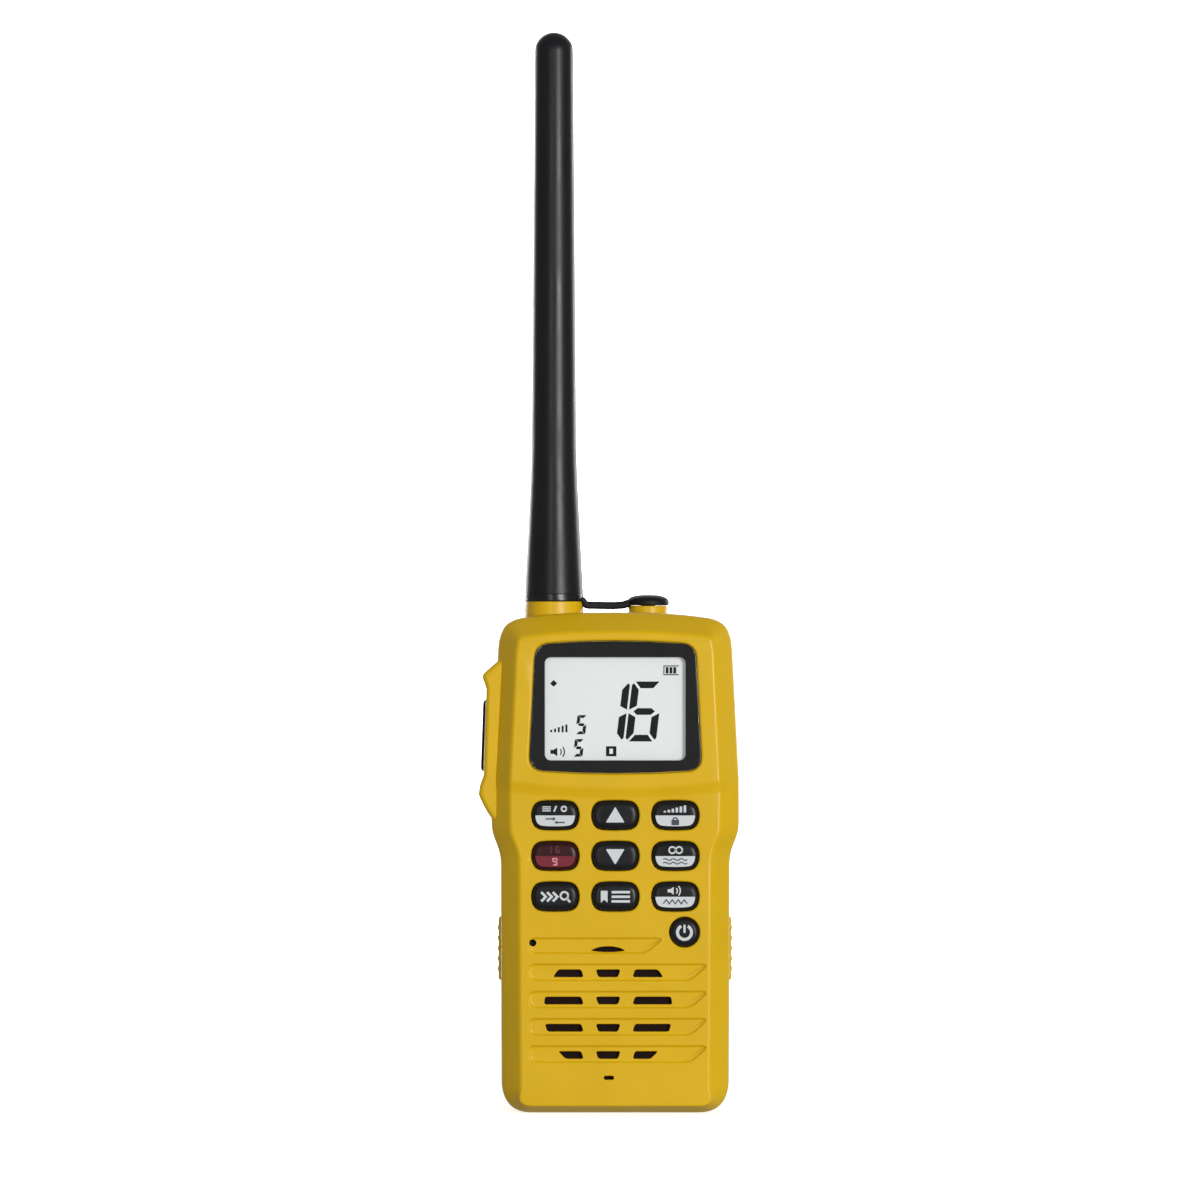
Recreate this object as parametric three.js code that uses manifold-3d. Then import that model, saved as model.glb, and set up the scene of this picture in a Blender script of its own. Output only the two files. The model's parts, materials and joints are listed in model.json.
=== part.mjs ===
// Handheld marine radio: a waterproof two-way VHF set with a display, a ten-key keypad, a side talk key,
// a screw-in whip aerial, a tethered jack cap and a clip-on battery pack.
// Millimetres. +Z is up, +X is to the right of somebody facing the set, and the face looks along -Y.
// The origin is on the flat underside, on the body's middle plane, below the aerial's axis in depth.

import * as THREE from "three";
import { mergeVertices } from "three/addons/utils/BufferGeometryUtils.js";
import Module from "manifold-3d";

const wasm = await Module();
wasm.setup();

// ---------------------------------------------------------------- driving dimensions

const fit = 0.3; // gap left between neighbouring pieces
const touch = 0.05; // gap between faces that bear on each other
const wall = 2.0; // moulded wall of the case
const slip = 0.6; // how far a cutter runs past the face that it cuts

const bevel = { width: 5.0, depth: 5.4, foot: 2.2, soft: 0.5 }; // sloping edge round the face
const corner = { foot: 7.6, topX: 7.4, topZ: 9.0, crown: 1.2 };
const bossR = 2.55; // plastic round a case screw

const speaker = { r: 18, x: -1.8, foot: 7.2, rim: 1.0, depth: 5.6, magnetR: 8.5, magnetDepth: 3.4 };
const slots = { r: 16.6, height: 1.9, pitch: 6.87, count: 4, rib: 3.5, middle: 6.1, slant: 0.7 };
const lens = { width: 8.5, height: 1.5, above: 15.7 }; // the single curved slot above the others
const mic = { r: 2.3, port: 0.9, x: -20.6, above: 17.8, length: 2.2, boot: 0.6, shift: 1.0 };
const drain = { width: 2.5, height: 1.0, foot: 9.1 };

const key = { width: 12.0, height: 7.5, corner: 2.9, gapX: 3.0, gapZ: 2.65, proud: 0.9, flange: 0.6, segments: 2 };
const powerKey = { r: 3.8, x: 17.3, above: 20.3, below: 8.9 };
const keyTravel = 0.9;
const dome = { r: 2.6, rise: 0.35, sheet: 0.15, segments: 10 };

const display = {
  bottom: 43.3, // width of the window's lower edge
  top: 40.4,
  height: 33.8,
  bow: 1.2,
  corner: 3.6,
  glass: 1.6,
  viewWidth: 35.2,
  viewHeight: 25.8,
  viewDrop: 4.4, // from the window's upper edge to the view
  panel: 2.0,
  guide: 1.3,
  rim: 2.4, // glass beyond the view
};
const hood = { width: 3.2, proud: 0.8 };
const aboveKeys = 10.1; // top key row's centre to the window
const aboveWindow = 6.8;
const faceMargin = 2.4; // flat of the face beyond the widest thing on it
const gripMargin = 1.1;

const depth = { face: 16.5, top: 7.5, pack: 8.9, flange: 1.4, seal: 0.8 };
const board = { thick: 1.4, mat: 1.0, flange: 0.8, chassis: 1.5, shield: 0.4 };

const aerial = { x: -15.4, base: 7.3, neck: 5.5, neckRise: 36, tip: 4.66, length: 141.7, bore: 3.4 };
const collar = { r: 7.3, rise: 2.8, bush: 4.9 };
const stud = { r: 3.2, length: 7.2, shank: 2.9, shankRise: 12, flangeR: 6.4, flange: 1.2 };
const seal = { r: 0.85, major: 4.6 };
const coil = { wire: 0.55, r: 2.1, pitch: 9.5, sides: 4, steps: 8 };

const jack = { x: 8.3, boss: 4.9, bossRise: 1.7, bore: 2.4, socket: 8.0, socketLength: 12, hole: 1.8 };
const cap = { r: 5.3, height: 2.4, plug: 1.85, plugLength: 2.9 };
const strap = { width: 4.0, thick: 1.4, drop: 1.9, ring: 1.7 };

const talk = {
  drop: 5.5, // from the window's top to the boss's upper corner
  slopeTop: 3.4,
  slopeFoot: 5.4,
  foot: -1.0, // boss's lower end, from the top key row
  topX: 2.9, // stand-out from the body at the upper corner
  footX: 2.4,
  front: 4.0,
  back: 1.5,
  panelProud: 0.4,
  panelDepth: 1.2,
  panelWidth: 13.0,
  keyLength: 18.0,
  keyWidth: 8.6,
  keyProud: 1.1,
  keyDepth: 1.2, // how deep the key sits in its boss when it isn't pressed
  travel: 1.2,
  stem: 5.0,
};

const pack = { rise: 78.0, tongue: 4.9, wall: 1.5, inset: 4.8, cellGap: 0.6, backBevel: 3.0 };
const bay = { wall: 2.3, floor: 2.4, inset: 2.5 };
const latch = { length: 16, proud: 0.85, width: 5.0, z: 40, travel: 1.2, thick: 3.0, arm: 1.0, hook: 7.0 };
const clip = {
  width: 20,
  thick: 2.2,
  gap: 5.6,
  length: 51,
  pinZ: 68,
  pinR: 1.2,
  hub: 2.5,
  ear: 2.6,
  tab: 7.5,
  nib: 4.4,
};
const screw = { r: 1.25, headR: 2.4, head: 1.6, length: 9.0, rise: 9.0, x: 20.0 };
const charge = { r: 1.8, x: 9.0, thick: 0.8 };

// ---------------------------------------------------------------- places worked out from them

const pitch = { x: key.width + key.gapX, z: key.height + key.gapZ }; // from one key to the next
const speakerZ = speaker.foot + speaker.r;
const micZ = speakerZ + speaker.r - 0.2 - (18 - mic.above);
const powerZ = speakerZ + speaker.r + powerKey.above - 18;
const rowZ = (row) => powerZ + powerKey.below + row * pitch.z; // row 0 is the lowest
const windowZ = rowZ(2) + aboveKeys; // window's lower edge
const windowTop = windowZ + display.height;
const height = windowTop + aboveWindow;
const viewZ = windowTop - display.viewDrop - display.viewHeight / 2;

const onFace = Math.max(pitch.x + key.width / 2, speaker.r + Math.abs(speaker.x), powerKey.x + powerKey.r);
const footHalf = onFace + faceMargin + bevel.width;
const gripHalf = Math.max(display.bottom / 2 + hood.width + bevel.width + gripMargin, footHalf + 2.6);
const topHalf = gripHalf - 1.7;
const waist = { low: rowZ(1) - 2.4, high: rowZ(2) - 1.1 };

const faceY = -depth.face;
const partY = collar.r + 0.7; // where the two halves of the case meet
const flangeY = partY + depth.seal + 0.1;
const flangeBack = flangeY + depth.flange;
const packY = flangeBack + fit;
const packBack = packY + depth.pack;
const topBack = flangeBack + depth.top - depth.flange;
const innerFace = faceY + wall;
const hoodY = faceY - hood.proud;
const windowY = hoodY + 0.4;
const gasketY = windowY + display.glass + touch;
const ledgeY = gasketY + 0.35 + touch;
const ledgeBack = ledgeY + 1.0;
const lcdY = ledgeBack + 0.1;
const guideY = lcdY + display.panel + 0.1;
const boardY = guideY + display.guide + 0.1;
const boardBack = boardY + board.thick;
const chassisY = boardBack + 0.4;
const chassisBack = chassisY + board.chassis;
const rfY = chassisBack + 0.5;
const rfBack = rfY + board.thick;
const bayFloor = flangeY - pack.tongue - fit; // seen from behind
const bayFront = bayFloor - bay.floor;
const matY = innerFace + 0.2;
const flangeFront = matY;
const keyTip = boardY - dome.sheet - dome.rise - keyTravel - 0.1;

const collarTop = height + collar.rise;
const sealZ = collarTop + touch + seal.r;
const ringTop = collarTop + touch + strap.ring;
const aerialZ = ringTop + touch; // underside of the whip
const bushFoot = collarTop - 15;
const innards = { low: corner.foot, high: bushFoot - 1.2 }; // height that the chassis and the radio board take
const talkZ = { low: rowZ(2) + talk.foot, high: windowTop - talk.drop };
const talkY = { front: faceY + talk.front, back: partY - talk.back };
const packTop = pack.rise;
const latchZ = latch.z;
const screwSeat = (upper) => (upper ? topBack - 3.8 : bayFloor - screw.head - 0.1);

// ---------------------------------------------------------------- materials

const plastic = (color, roughness = 0.45) => new THREE.MeshStandardMaterial({ color, roughness, metalness: 0 });
const metal = (color, roughness = 0.35) => new THREE.MeshStandardMaterial({ color, roughness, metalness: 1 });
const yellow = plastic(0xe0b40c, 0.4);
const rubber = plastic(0x1d1d20, 0.7);
const silicone = plastic(0x17171a, 0.5);
const redSilicone = plastic(0x5e1620, 0.5);
const gasketBlack = plastic(0x0c0c0e, 0.8);
const clear = new THREE.MeshStandardMaterial({ color: 0xdfe6e8, roughness: 0.08, transparent: true, opacity: 0.3 });
const liquidCrystal = plastic(0xe4e6e2, 0.25);
const diffuser = plastic(0xf4f4ee, 0.5);
const circuit = plastic(0x1f5a35, 0.55);
const cone = plastic(0x2a2a2c, 0.8);
const cell = plastic(0x3d6fa8, 0.4);
const castMetal = metal(0xa9abad, 0.5);
const tin = metal(0xc7c9cb, 0.3);
const brass = metal(0xb8923f, 0.3);
const steel = metal(0xb9bcc0, 0.28);
const gold = metal(0xd8b04a, 0.25);

// ---------------------------------------------------------------- solids

// Turns a closed geometry into a manifold-3d solid that faces outwards.
const solid = (geometry) => {
  const bare = geometry.clone();
  bare.deleteAttribute("normal");
  bare.deleteAttribute("uv");
  const merged = mergeVertices(bare, 1e-4);
  const corners = merged.index.array;
  const kept = [];
  for (let i = 0; i < corners.length; i += 3) {
    const [a, b, c] = corners.slice(i, i + 3);
    if (a !== b && b !== c && c !== a) kept.push(a, b, c);
  }
  const make = (triVerts) =>
    new wasm.Manifold(
      new wasm.Mesh({ numProp: 3, vertProperties: merged.attributes.position.array, triVerts }),
    );
  const made = make(new Uint32Array(kept));
  return made.volume() > 0 ? made : make(new Uint32Array(kept.reverse()));
};

// Turns a manifold-3d solid back into a geometry with flat faces.
const geometryOf = (made) => {
  const mesh = made.getMesh();
  const shared = new THREE.BufferGeometry()
    .setAttribute("position", new THREE.BufferAttribute(new Float32Array(mesh.vertProperties), 3))
    .setIndex(new THREE.BufferAttribute(new Uint32Array(mesh.triVerts), 1));
  const flat = shared.toNonIndexed();
  flat.computeVertexNormals();
  return flat;
};

const join = (first, ...others) => others.reduce((sum, next) => sum.add(next), first);
const cut = (first, ...others) => others.reduce((rest, next) => rest.subtract(next), first);

// A box between two corners.
const box = (x0, x1, y0, y1, z0, z1) =>
  solid(new THREE.BoxGeometry(x1 - x0, y1 - y0, z1 - z0).translate((x0 + x1) / 2, (y0 + y1) / 2, (z0 + z1) / 2));

// An outline in X and Z, extruded from y0 to y1, with its end edges bevelled by edge.
const prism = (shape, y0, y1, edge = 0, segments = 5) =>
  solid(
    new THREE.ExtrudeGeometry(shape, {
      depth: y1 - y0 - 2 * edge,
      curveSegments: segments,
      bevelEnabled: edge > 0,
      bevelThickness: edge,
      bevelSize: edge,
      bevelOffset: -edge,
      bevelSegments: 1,
    })
      .rotateX(Math.PI / 2)
      .translate(0, y1 - edge, 0),
  );

// A closed profile of [radius, along] turned about an axis: "y" through depth or "z" upright.
const turned = (profile, segments = 24, axis = "z") => {
  const made = new THREE.LatheGeometry(
    profile.map(([r, h]) => new THREE.Vector2(r, h)),
    segments,
  );
  return solid(axis === "z" ? made.rotateX(Math.PI / 2) : made);
};
const rod = (r, from, to, segments = 20, axis = "z") =>
  turned([[0, from], [r, from], [r, to], [0, to]], segments, axis);
const moved = (made, x, y, z) => solid(geometryOf(made).translate(x, y, z));
const tube = (outer, inner, from, to, segments = 24, axis = "z") =>
  turned([[inner, from], [outer, from], [outer, to], [inner, to], [inner, from]], segments, axis);

// A rectangle with round corners, centred on (x, z).
const roundRect = (width, tall, r, x = 0, z = 0) => {
  const [w, h] = [width / 2, tall / 2];
  const s = new THREE.Shape();
  s.moveTo(x + w - r, z - h);
  s.absarc(x + w - r, z - h + r, r, -Math.PI / 2, 0);
  s.absarc(x + w - r, z + h - r, r, 0, Math.PI / 2);
  s.absarc(x - w + r, z + h - r, r, Math.PI / 2, Math.PI);
  s.absarc(x - w + r, z - h + r, r, Math.PI, Math.PI * 1.5);
  return s;
};
const polygon = (points) => new THREE.Shape(points.map(([x, z]) => new THREE.Vector2(x, z)));
const circle = (r, x, z) => new THREE.Shape().absarc(x, z, r, 0, Math.PI * 2);

// Rings of the same number of [x, y, z] points, joined in order into one closed skin.
const loft = (rings) => {
  const count = rings[0].length;
  const positions = rings.flat(2);
  const index = [];
  for (let ring = 0; ring + 1 < rings.length; ring++) {
    for (let i = 0; i < count; i++) {
      const [a, b] = [ring * count + i, ring * count + ((i + 1) % count)];
      index.push(a, b, a + count, b, b + count, a + count);
    }
  }
  for (const [ring, turn] of [[0, 1], [rings.length - 1, 0]]) {
    const flat = rings[ring].map(([x, , z]) => new THREE.Vector2(x, z));
    for (const [a, b, c] of THREE.ShapeUtils.triangulateShape(flat, [])) {
      const start = ring * count;
      index.push(...(turn ? [start + c, start + b, start + a] : [start + a, start + b, start + c]));
    }
  }
  return solid(
    new THREE.BufferGeometry()
      .setAttribute("position", new THREE.Float32BufferAttribute(positions, 3))
      .setIndex(index),
  );
};

// ---------------------------------------------------------------- the body's outline

// Front view of the case: a straight lower half, a waist, a wider head and a crowned top.
const outline = (() => {
  const half = new THREE.Path();
  half.moveTo(0, 0);
  half.lineTo(footHalf - corner.foot, 0);
  half.quadraticCurveTo(footHalf - 0.4, 0, footHalf, corner.foot);
  half.lineTo(footHalf + 0.2, waist.low);
  const bend = (waist.high - waist.low) / 2;
  half.bezierCurveTo(footHalf + 0.3, waist.low + bend, gripHalf, waist.high - bend, gripHalf, waist.high);
  half.lineTo(gripHalf, windowZ - 1);
  half.lineTo(topHalf, height - corner.topZ);
  half.bezierCurveTo(
    topHalf - 0.3, height - corner.topZ * 0.4,
    topHalf - corner.topX * 0.35, height - corner.crown * 1.3,
    topHalf - corner.topX, height - corner.crown,
  );
  half.quadraticCurveTo(topHalf / 2, height, 0, height);
  const right = half.getPoints(5);
  const left = right.slice(1, -1).reverse().map((p) => new THREE.Vector2(-p.x, p.y));
  return [...right, ...left];
})();

// The outline moved inwards: by side on the flanks and the top, by foot along the bottom.
const ringAt = (y, side, foot = side) =>
  outline.map((p, i) => {
    const before = outline[(i + outline.length - 1) % outline.length];
    const after = outline[(i + 1) % outline.length];
    const into = p.clone().sub(before).normalize();
    const out = after.clone().sub(p).normalize();
    const along = into.add(out).normalize();
    const share = along.dot(out);
    const normal = new THREE.Vector2(along.y, -along.x);
    const amount = (normal.y < 0 ? side + (foot - side) * normal.y ** 2 : side) / share;
    return [p.x - normal.x * amount, y, p.y - normal.y * amount];
  });

// Half the body's width at a height.
const halfAt = (z) => {
  const right = outline.filter((p) => p.x >= 0);
  for (let i = 0; i + 1 < right.length; i++) {
    const [a, b] = [right[i], right[i + 1]];
    if (a.y <= z && z <= b.y && b.y > a.y) return a.x + ((b.x - a.x) * (z - a.y)) / (b.y - a.y);
  }
  return right[0].x;
};

// The display's outline, grown by margin: a bowed trapezium with round corners.
const windowShape = (margin = 0) => {
  const low = display.bottom / 2 + margin;
  const high = display.top / 2 + margin;
  const [foot, top] = [windowZ - margin, windowTop + margin];
  const r = display.corner + margin;
  const s = new THREE.Shape();
  s.moveTo(-low + r, foot + display.bow * 0.7);
  s.quadraticCurveTo(0, foot - display.bow * 0.3, low - r, foot + display.bow * 0.7);
  s.quadraticCurveTo(low, foot + display.bow, low - 0.1, foot + display.bow + r);
  s.lineTo(high + 0.1, top - display.bow - r);
  s.quadraticCurveTo(high, top - display.bow, high - r, top - display.bow * 0.7);
  s.quadraticCurveTo(0, top + display.bow * 0.3, -high + r, top - display.bow * 0.7);
  s.quadraticCurveTo(-high, top - display.bow, -high - 0.1, top - display.bow - r);
  s.lineTo(-low + 0.1, foot + display.bow + r);
  s.quadraticCurveTo(-low, foot + display.bow, -low + r, foot + display.bow * 0.7);
  return s;
};

// ---------------------------------------------------------------- keys

const keyPlaces = [
  ["key_channel", -1, 2],
  ["key_up", 0, 2],
  ["key_power_level", 1, 2],
  ["key_priority", -1, 1],
  ["key_down", 0, 1],
  ["key_dual_watch", 1, 1],
  ["key_scan", -1, 0],
  ["key_memory", 0, 0],
  ["key_volume", 1, 0],
].map(([name, column, row]) => ({ name, x: column * pitch.x, z: rowZ(row) }));

const keyShape = (grow, x = 0, z = 0) =>
  roundRect(key.width + 2 * grow, key.height + 2 * grow, key.corner + grow, x, z);

// One key about its own centre: a domed cap, a flange that stops it falling out, and a plunger.
const keyBody = (capShape, flangeShape, segments) =>
  join(
    prism(capShape, faceY - key.proud, flangeFront + 0.4, 0.5, segments),
    prism(flangeShape, flangeFront, flangeFront + board.flange, 0, segments),
    rod(1.5, flangeFront + 0.2, keyTip, 8, "y"),
  );
const padKey = () => keyBody(keyShape(-fit), keyShape(key.flange), key.segments);
const roundKey = () => keyBody(circle(powerKey.r - fit, 0, 0), circle(powerKey.r + key.flange, 0, 0), 10);

// ---------------------------------------------------------------- case

const bossPlaces = () => {
  const topZ = height - corner.topZ - 1.4;
  const topX = halfAt(topZ) - wall - bossR - 1.2;
  return [
    { x: -screw.x, z: screw.rise, upper: false },
    { x: screw.x, z: screw.rise, upper: false },
    { x: -topX, z: topZ, upper: true },
    { x: topX, z: topZ, upper: true },
  ];
};

// Corner points of the talk-key boss, seen from the front.
const talkCorners = (() => {
  const lowX = -halfAt(talkZ.low) - talk.footX;
  const highX = -halfAt(talkZ.high) - talk.topX;
  return {
    low: [lowX, talkZ.low + talk.slopeFoot],
    high: [highX, talkZ.high - talk.slopeTop],
  };
})();
const talkMiddle = {
  x: (talkCorners.low[0] + talkCorners.high[0]) / 2,
  z: (talkCorners.low[1] + talkCorners.high[1]) / 2,
  y: (talkY.front + talkY.back) / 2,
};
const talkTilt = Math.atan2(
  talkCorners.high[0] - talkCorners.low[0],
  talkCorners.high[1] - talkCorners.low[1],
);
const talkSpan = Math.hypot(
  talkCorners.high[0] - talkCorners.low[0],
  talkCorners.high[1] - talkCorners.low[1],
);

// A piece drawn about the origin with its outside at x = 0, tilted and carried to the talk boss's flank.
const onTalkBoss = (made) =>
  solid(geometryOf(made).rotateY(talkTilt).translate(talkMiddle.x, talkMiddle.y, talkMiddle.z));
const flankPlate = (length, width, r, x0, x1, edge = 0) =>
  solid(
    geometryOf(prism(roundRect(width, length, r), -x1, -x0, edge, 3)).rotateZ(Math.PI / 2),
  );

const talkBoss = () => {
  const inside = -halfAt(talkZ.high) + wall + 1.0;
  return prism(
    polygon([
      [inside, talkZ.low - 0.6],
      [-halfAt(talkZ.low) + 0.2, talkZ.low],
      talkCorners.low,
      talkCorners.high,
      [-halfAt(talkZ.high) + 0.2, talkZ.high],
      [inside, talkZ.high],
    ]),
    talkY.front,
    talkY.back,
    0.8,
  );
};

// Slots of the speaker grille: bars clipped by a circle and parted by two slanting ribs.
const grille = () => {
  const circleCut = rod(slots.r, faceY - slip, innerFace + slip, 40, "y");
  const disc = moved(circleCut, speaker.x, 0, speakerZ);
  const cuts = [];
  for (let row = 0; row < slots.count; row++) {
    const z = speakerZ + (row - 1.57) * slots.pitch;
    const [low, high] = [z - slots.height / 2, z + slots.height / 2];
    const inner = slots.middle / 2;
    const outer = inner + slots.rib;
    const lean = slots.slant; // the ribs spread upwards
    const bar = (points) =>
      prism(polygon(points.map(([x, zz]) => [x + speaker.x, zz])), faceY - slip, innerFace + slip);
    cuts.push(bar([[lean - inner, low], [inner - lean, low], [inner, high], [-inner, high]]));
    for (const side of [-1, 1]) {
      const far = slots.r + 1;
      const points = [[side * (outer - lean), low], [side * far, low], [side * far, high], [side * outer, high]];
      cuts.push(bar(side < 0 ? points.reverse() : points));
    }
  }
  return join(...cuts).intersect(disc);
};

const lensSlot = () => {
  const z = speakerZ + lens.above - lens.height / 2;
  const s = new THREE.Shape();
  s.moveTo(speaker.x - lens.width / 2, z);
  s.quadraticCurveTo(speaker.x, z - lens.height * 0.2, speaker.x + lens.width / 2, z);
  s.quadraticCurveTo(speaker.x, z + lens.height * 1.9, speaker.x - lens.width / 2, z);
  return prism(s, faceY - slip, innerFace + slip, 0, 6);
};

const viewShape = (margin) =>
  roundRect(display.viewWidth + 2 * margin, display.viewHeight + 2 * margin, 1.5, 0, viewZ);

const frontCase = () => {
  const { width, depth: deep, foot, soft } = bevel;
  const outer = loft([
    ringAt(partY, 0),
    ringAt(faceY + deep + 1.2, 0),
    ringAt(faceY + deep - 0.3, 0.35, 0.2),
    ringAt(faceY + soft, width - 0.55, foot - 0.5),
    ringAt(faceY, width, foot),
  ]);
  const inner = loft([
    ringAt(partY + slip, wall),
    ringAt(faceY + deep + 1.0, wall),
    ringAt(innerFace, wall + width - 1.4, wall + 0.4),
  ]);
  const aerialCollar = moved(rod(collar.r, height - 8, collarTop, 32), aerial.x, 0, 0);
  const jackBoss = moved(rod(jack.boss, height - 6, height + jack.bossRise, 24), jack.x, 0, 0);
  const hoodRim = prism(windowShape(hood.width), hoodY, faceY + 0.5, 0.5, 4);
  const ledge = prism(windowShape(2.2), ledgeY - 1, ledgeBack, 0, 4);
  const speakerRing = moved(
    tube(speaker.r + 0.4 + speaker.rim, speaker.r + 0.4, innerFace - 0.3, innerFace + 2.0, 28, "y"),
    speaker.x, 0, speakerZ,
  );
  const bosses = bossPlaces().map(({ x, z, upper }) => {
    const from = upper ? boardBack + 0.6 : innerFace - 0.3;
    const to = upper ? flangeY - 0.2 - depth.seal : bayFront - touch;
    const post = moved(rod(bossR, from, to, 14, "y"), x, 0, z);
    const web = box(Math.min(x, Math.sign(x) * gripHalf), Math.max(x, Math.sign(x) * gripHalf), from, to, z - 1, z + 1);
    return upper ? join(post, web) : post;
  });
  const body = join(
    cut(join(outer, hoodRim), inner),
    ledge,
    speakerRing,
    cut(talkBoss(), inner),
    cut(aerialCollar, inner),
    cut(jackBoss, inner),
    ...bosses.map((b) => b.intersect(loft([ringAt(partY, 0.6), ringAt(innerFace - 0.4, 0.6 + width - 1)]))),
  );
  const screwHoles = bossPlaces().map(({ x, z, upper }) => {
    const to = upper ? partY + slip : bayFront + slip;
    return moved(rod(screw.r + 0.15, to - slip - screw.length, to, 10, "y"), x, 0, z);
  });
  const keyHoles = keyPlaces.map(({ x, z }) =>
    prism(keyShape(0, x, z), faceY - slip, innerFace + slip, 0, key.segments),
  );
  const talkPocket = onTalkBoss(
    flankPlate(talkSpan - 3, talk.panelWidth + 2 * fit, 3.2, -slip, talk.panelDepth),
  );
  const keyWell = onTalkBoss(
    flankPlate(talk.keyLength + 2 * fit, talk.keyWidth + 2 * fit, 2.6, 0, talk.keyDepth + talk.travel + 0.1),
  );
  const stemWay = onTalkBoss(flankPlate(talk.keyLength - 4, talk.keyWidth - 3, 1.6, 0, 12));
  return cut(
    body,
    prism(windowShape(0.15), hoodY - slip, gasketY + 0.35 + touch, 0, 4),
    prism(viewShape(0.8), ledgeY - slip, ledgeBack + slip, 0, 3),
    grille(),
    lensSlot(),
    prism(circle(mic.port, mic.x, micZ), faceY - slip, innerFace + slip, 0, 8),
    prism(roundRect(drain.width, drain.height, 0.45, speaker.x, drain.foot), faceY - slip, innerFace + slip, 0, 2),
    prism(circle(powerKey.r, powerKey.x, powerZ), faceY - slip, innerFace + slip, 0, 10),
    ...keyHoles,
    ...screwHoles,
    talkPocket,
    keyWell,
    stemWay,
    moved(rod(collar.bush + 0.1, height - 9, collarTop + slip, 28), aerial.x, 0, 0),
    moved(rod(jack.bore, height - 7, height + jack.bossRise + slip, 20), jack.x, 0, 0),
  );
};

// The back cover: a flange, a domed head above the battery and a bay for the battery's tongue.
const bayShape = (margin) => {
  const half = footHalf - wall - bay.wall - fit + margin;
  const [low, high] = [bay.inset + bay.wall - margin, packTop - 1.2 + margin];
  return roundRect(2 * half, high - low, 4.4 + margin, 0, (low + high) / 2);
};
const rearCase = () => {
  const headBevel = 3.0;
  const flat = loft([ringAt(flangeY, 0), ringAt(flangeBack, 0)]);
  const head = loft([
    ringAt(flangeY, 0),
    ringAt(topBack - headBevel, 0),
    ringAt(topBack - 0.5, headBevel - 0.6),
    ringAt(topBack, headBevel),
  ]);
  const headInside = loft([
    ringAt(flangeY - slip, wall),
    ringAt(topBack - headBevel, wall),
    ringAt(topBack - wall, wall + headBevel - 1),
  ]);
  const far = 2 * gripHalf;
  const above = box(-far, far, bayFront - 1, topBack + 1, packTop + fit + wall, height + 1);
  const step = box(-far, far, flangeBack, topBack + 1, packTop + fit, height + 1);
  const bayWalls = prism(bayShape(bay.wall), bayFront, flangeY + touch, 0, 4);
  const seat = cut(flat, above).intersect(box(-far, far, flangeY - 1, flangeBack + 1, -1, packTop + 4));
  const shell = join(
    seat,
    cut(head.intersect(box(-far, far, flangeY - 1, topBack + 1, packTop + fit, height + 1)), headInside.intersect(above)),
    bayWalls,
  );
  const hookPockets = [-1, 1].map((side) => {
    const [a, b] = [side * (bayHalf - 0.5), side * (bayHalf + 1.6)];
    return box(Math.min(a, b), Math.max(a, b), partY - 1.2, flangeBack + slip, latchZ - latch.hook / 2, latchZ + latch.hook / 2);
  });
  const screwHoles = bossPlaces().map(({ x, z, upper }) => {
    const seatY = screwSeat(upper);
    return moved(
      join(rod(screw.r + 0.3, bayFront - 8, topBack + slip, 12, "y"), rod(screw.headR + 0.25, seatY, topBack + slip, 16, "y")),
      x, 0, z,
    );
  });
  const screwPosts = bossPlaces().filter(({ upper }) => upper).map(({ x, z }) =>
    moved(rod(screw.headR + 1.4, flangeY, topBack - 1.0, 16, "y"), x, 0, z).intersect(head),
  );
  return cut(
    join(shell, ...screwPosts),
    prism(bayShape(0), bayFloor, topBack + slip, 0, 4).intersect(box(-far, far, -99, 99, -9, packTop + fit)),
    ...hookPockets,
    ...screwHoles,
    prism(roundRect(18.6, 6.6, 0.8, 0, terminalZ), bayFront - slip, bayFloor + slip, 0, 2),
  ).intersect(join(step, box(-far, far, -99, flangeBack, -9, height + 1)));
};
const bayHalf = footHalf - wall - bay.wall - fit;
const terminalZ = packTop - 9;

const caseSeal = () =>
  cut(
    loft([ringAt(partY + touch, 0.5), ringAt(partY + touch + depth.seal - touch, 0.5)]),
    loft([ringAt(partY - slip, wall - 0.3), ringAt(partY + 2, wall - 0.3)]),
  );

// A countersunk-head machine screw about its own axis, head at the back.
const caseScrew = () => {
  const shank = rod(screw.r, -screw.length, 0.1, 10, "y");
  const head = turned([[0, 0], [screw.headR, 0], [screw.headR, screw.head * 0.7], [screw.headR * 0.8, screw.head], [0, screw.head]], 16, "y");
  const slot = [0, 1].map((turn) => {
    const bar = box(-1.5, 1.5, screw.head - 0.9, screw.head + slip, -0.3, 0.3);
    return solid(geometryOf(bar).rotateY((turn * Math.PI) / 2));
  });
  return cut(join(shank, head), ...slot);
};

// ---------------------------------------------------------------- display and boards

const lcdHalfX = display.viewWidth / 2 + display.rim;
const lcdHalfZ = display.viewHeight / 2 + display.rim - 0.8;
const boardHalf = footHalf - wall - 1.0;
const lcdBox = (y, thick, grow = 0) =>
  box(-lcdHalfX - grow, lcdHalfX + grow, y, y + thick, viewZ - lcdHalfZ - grow, viewZ + lcdHalfZ + grow);

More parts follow.
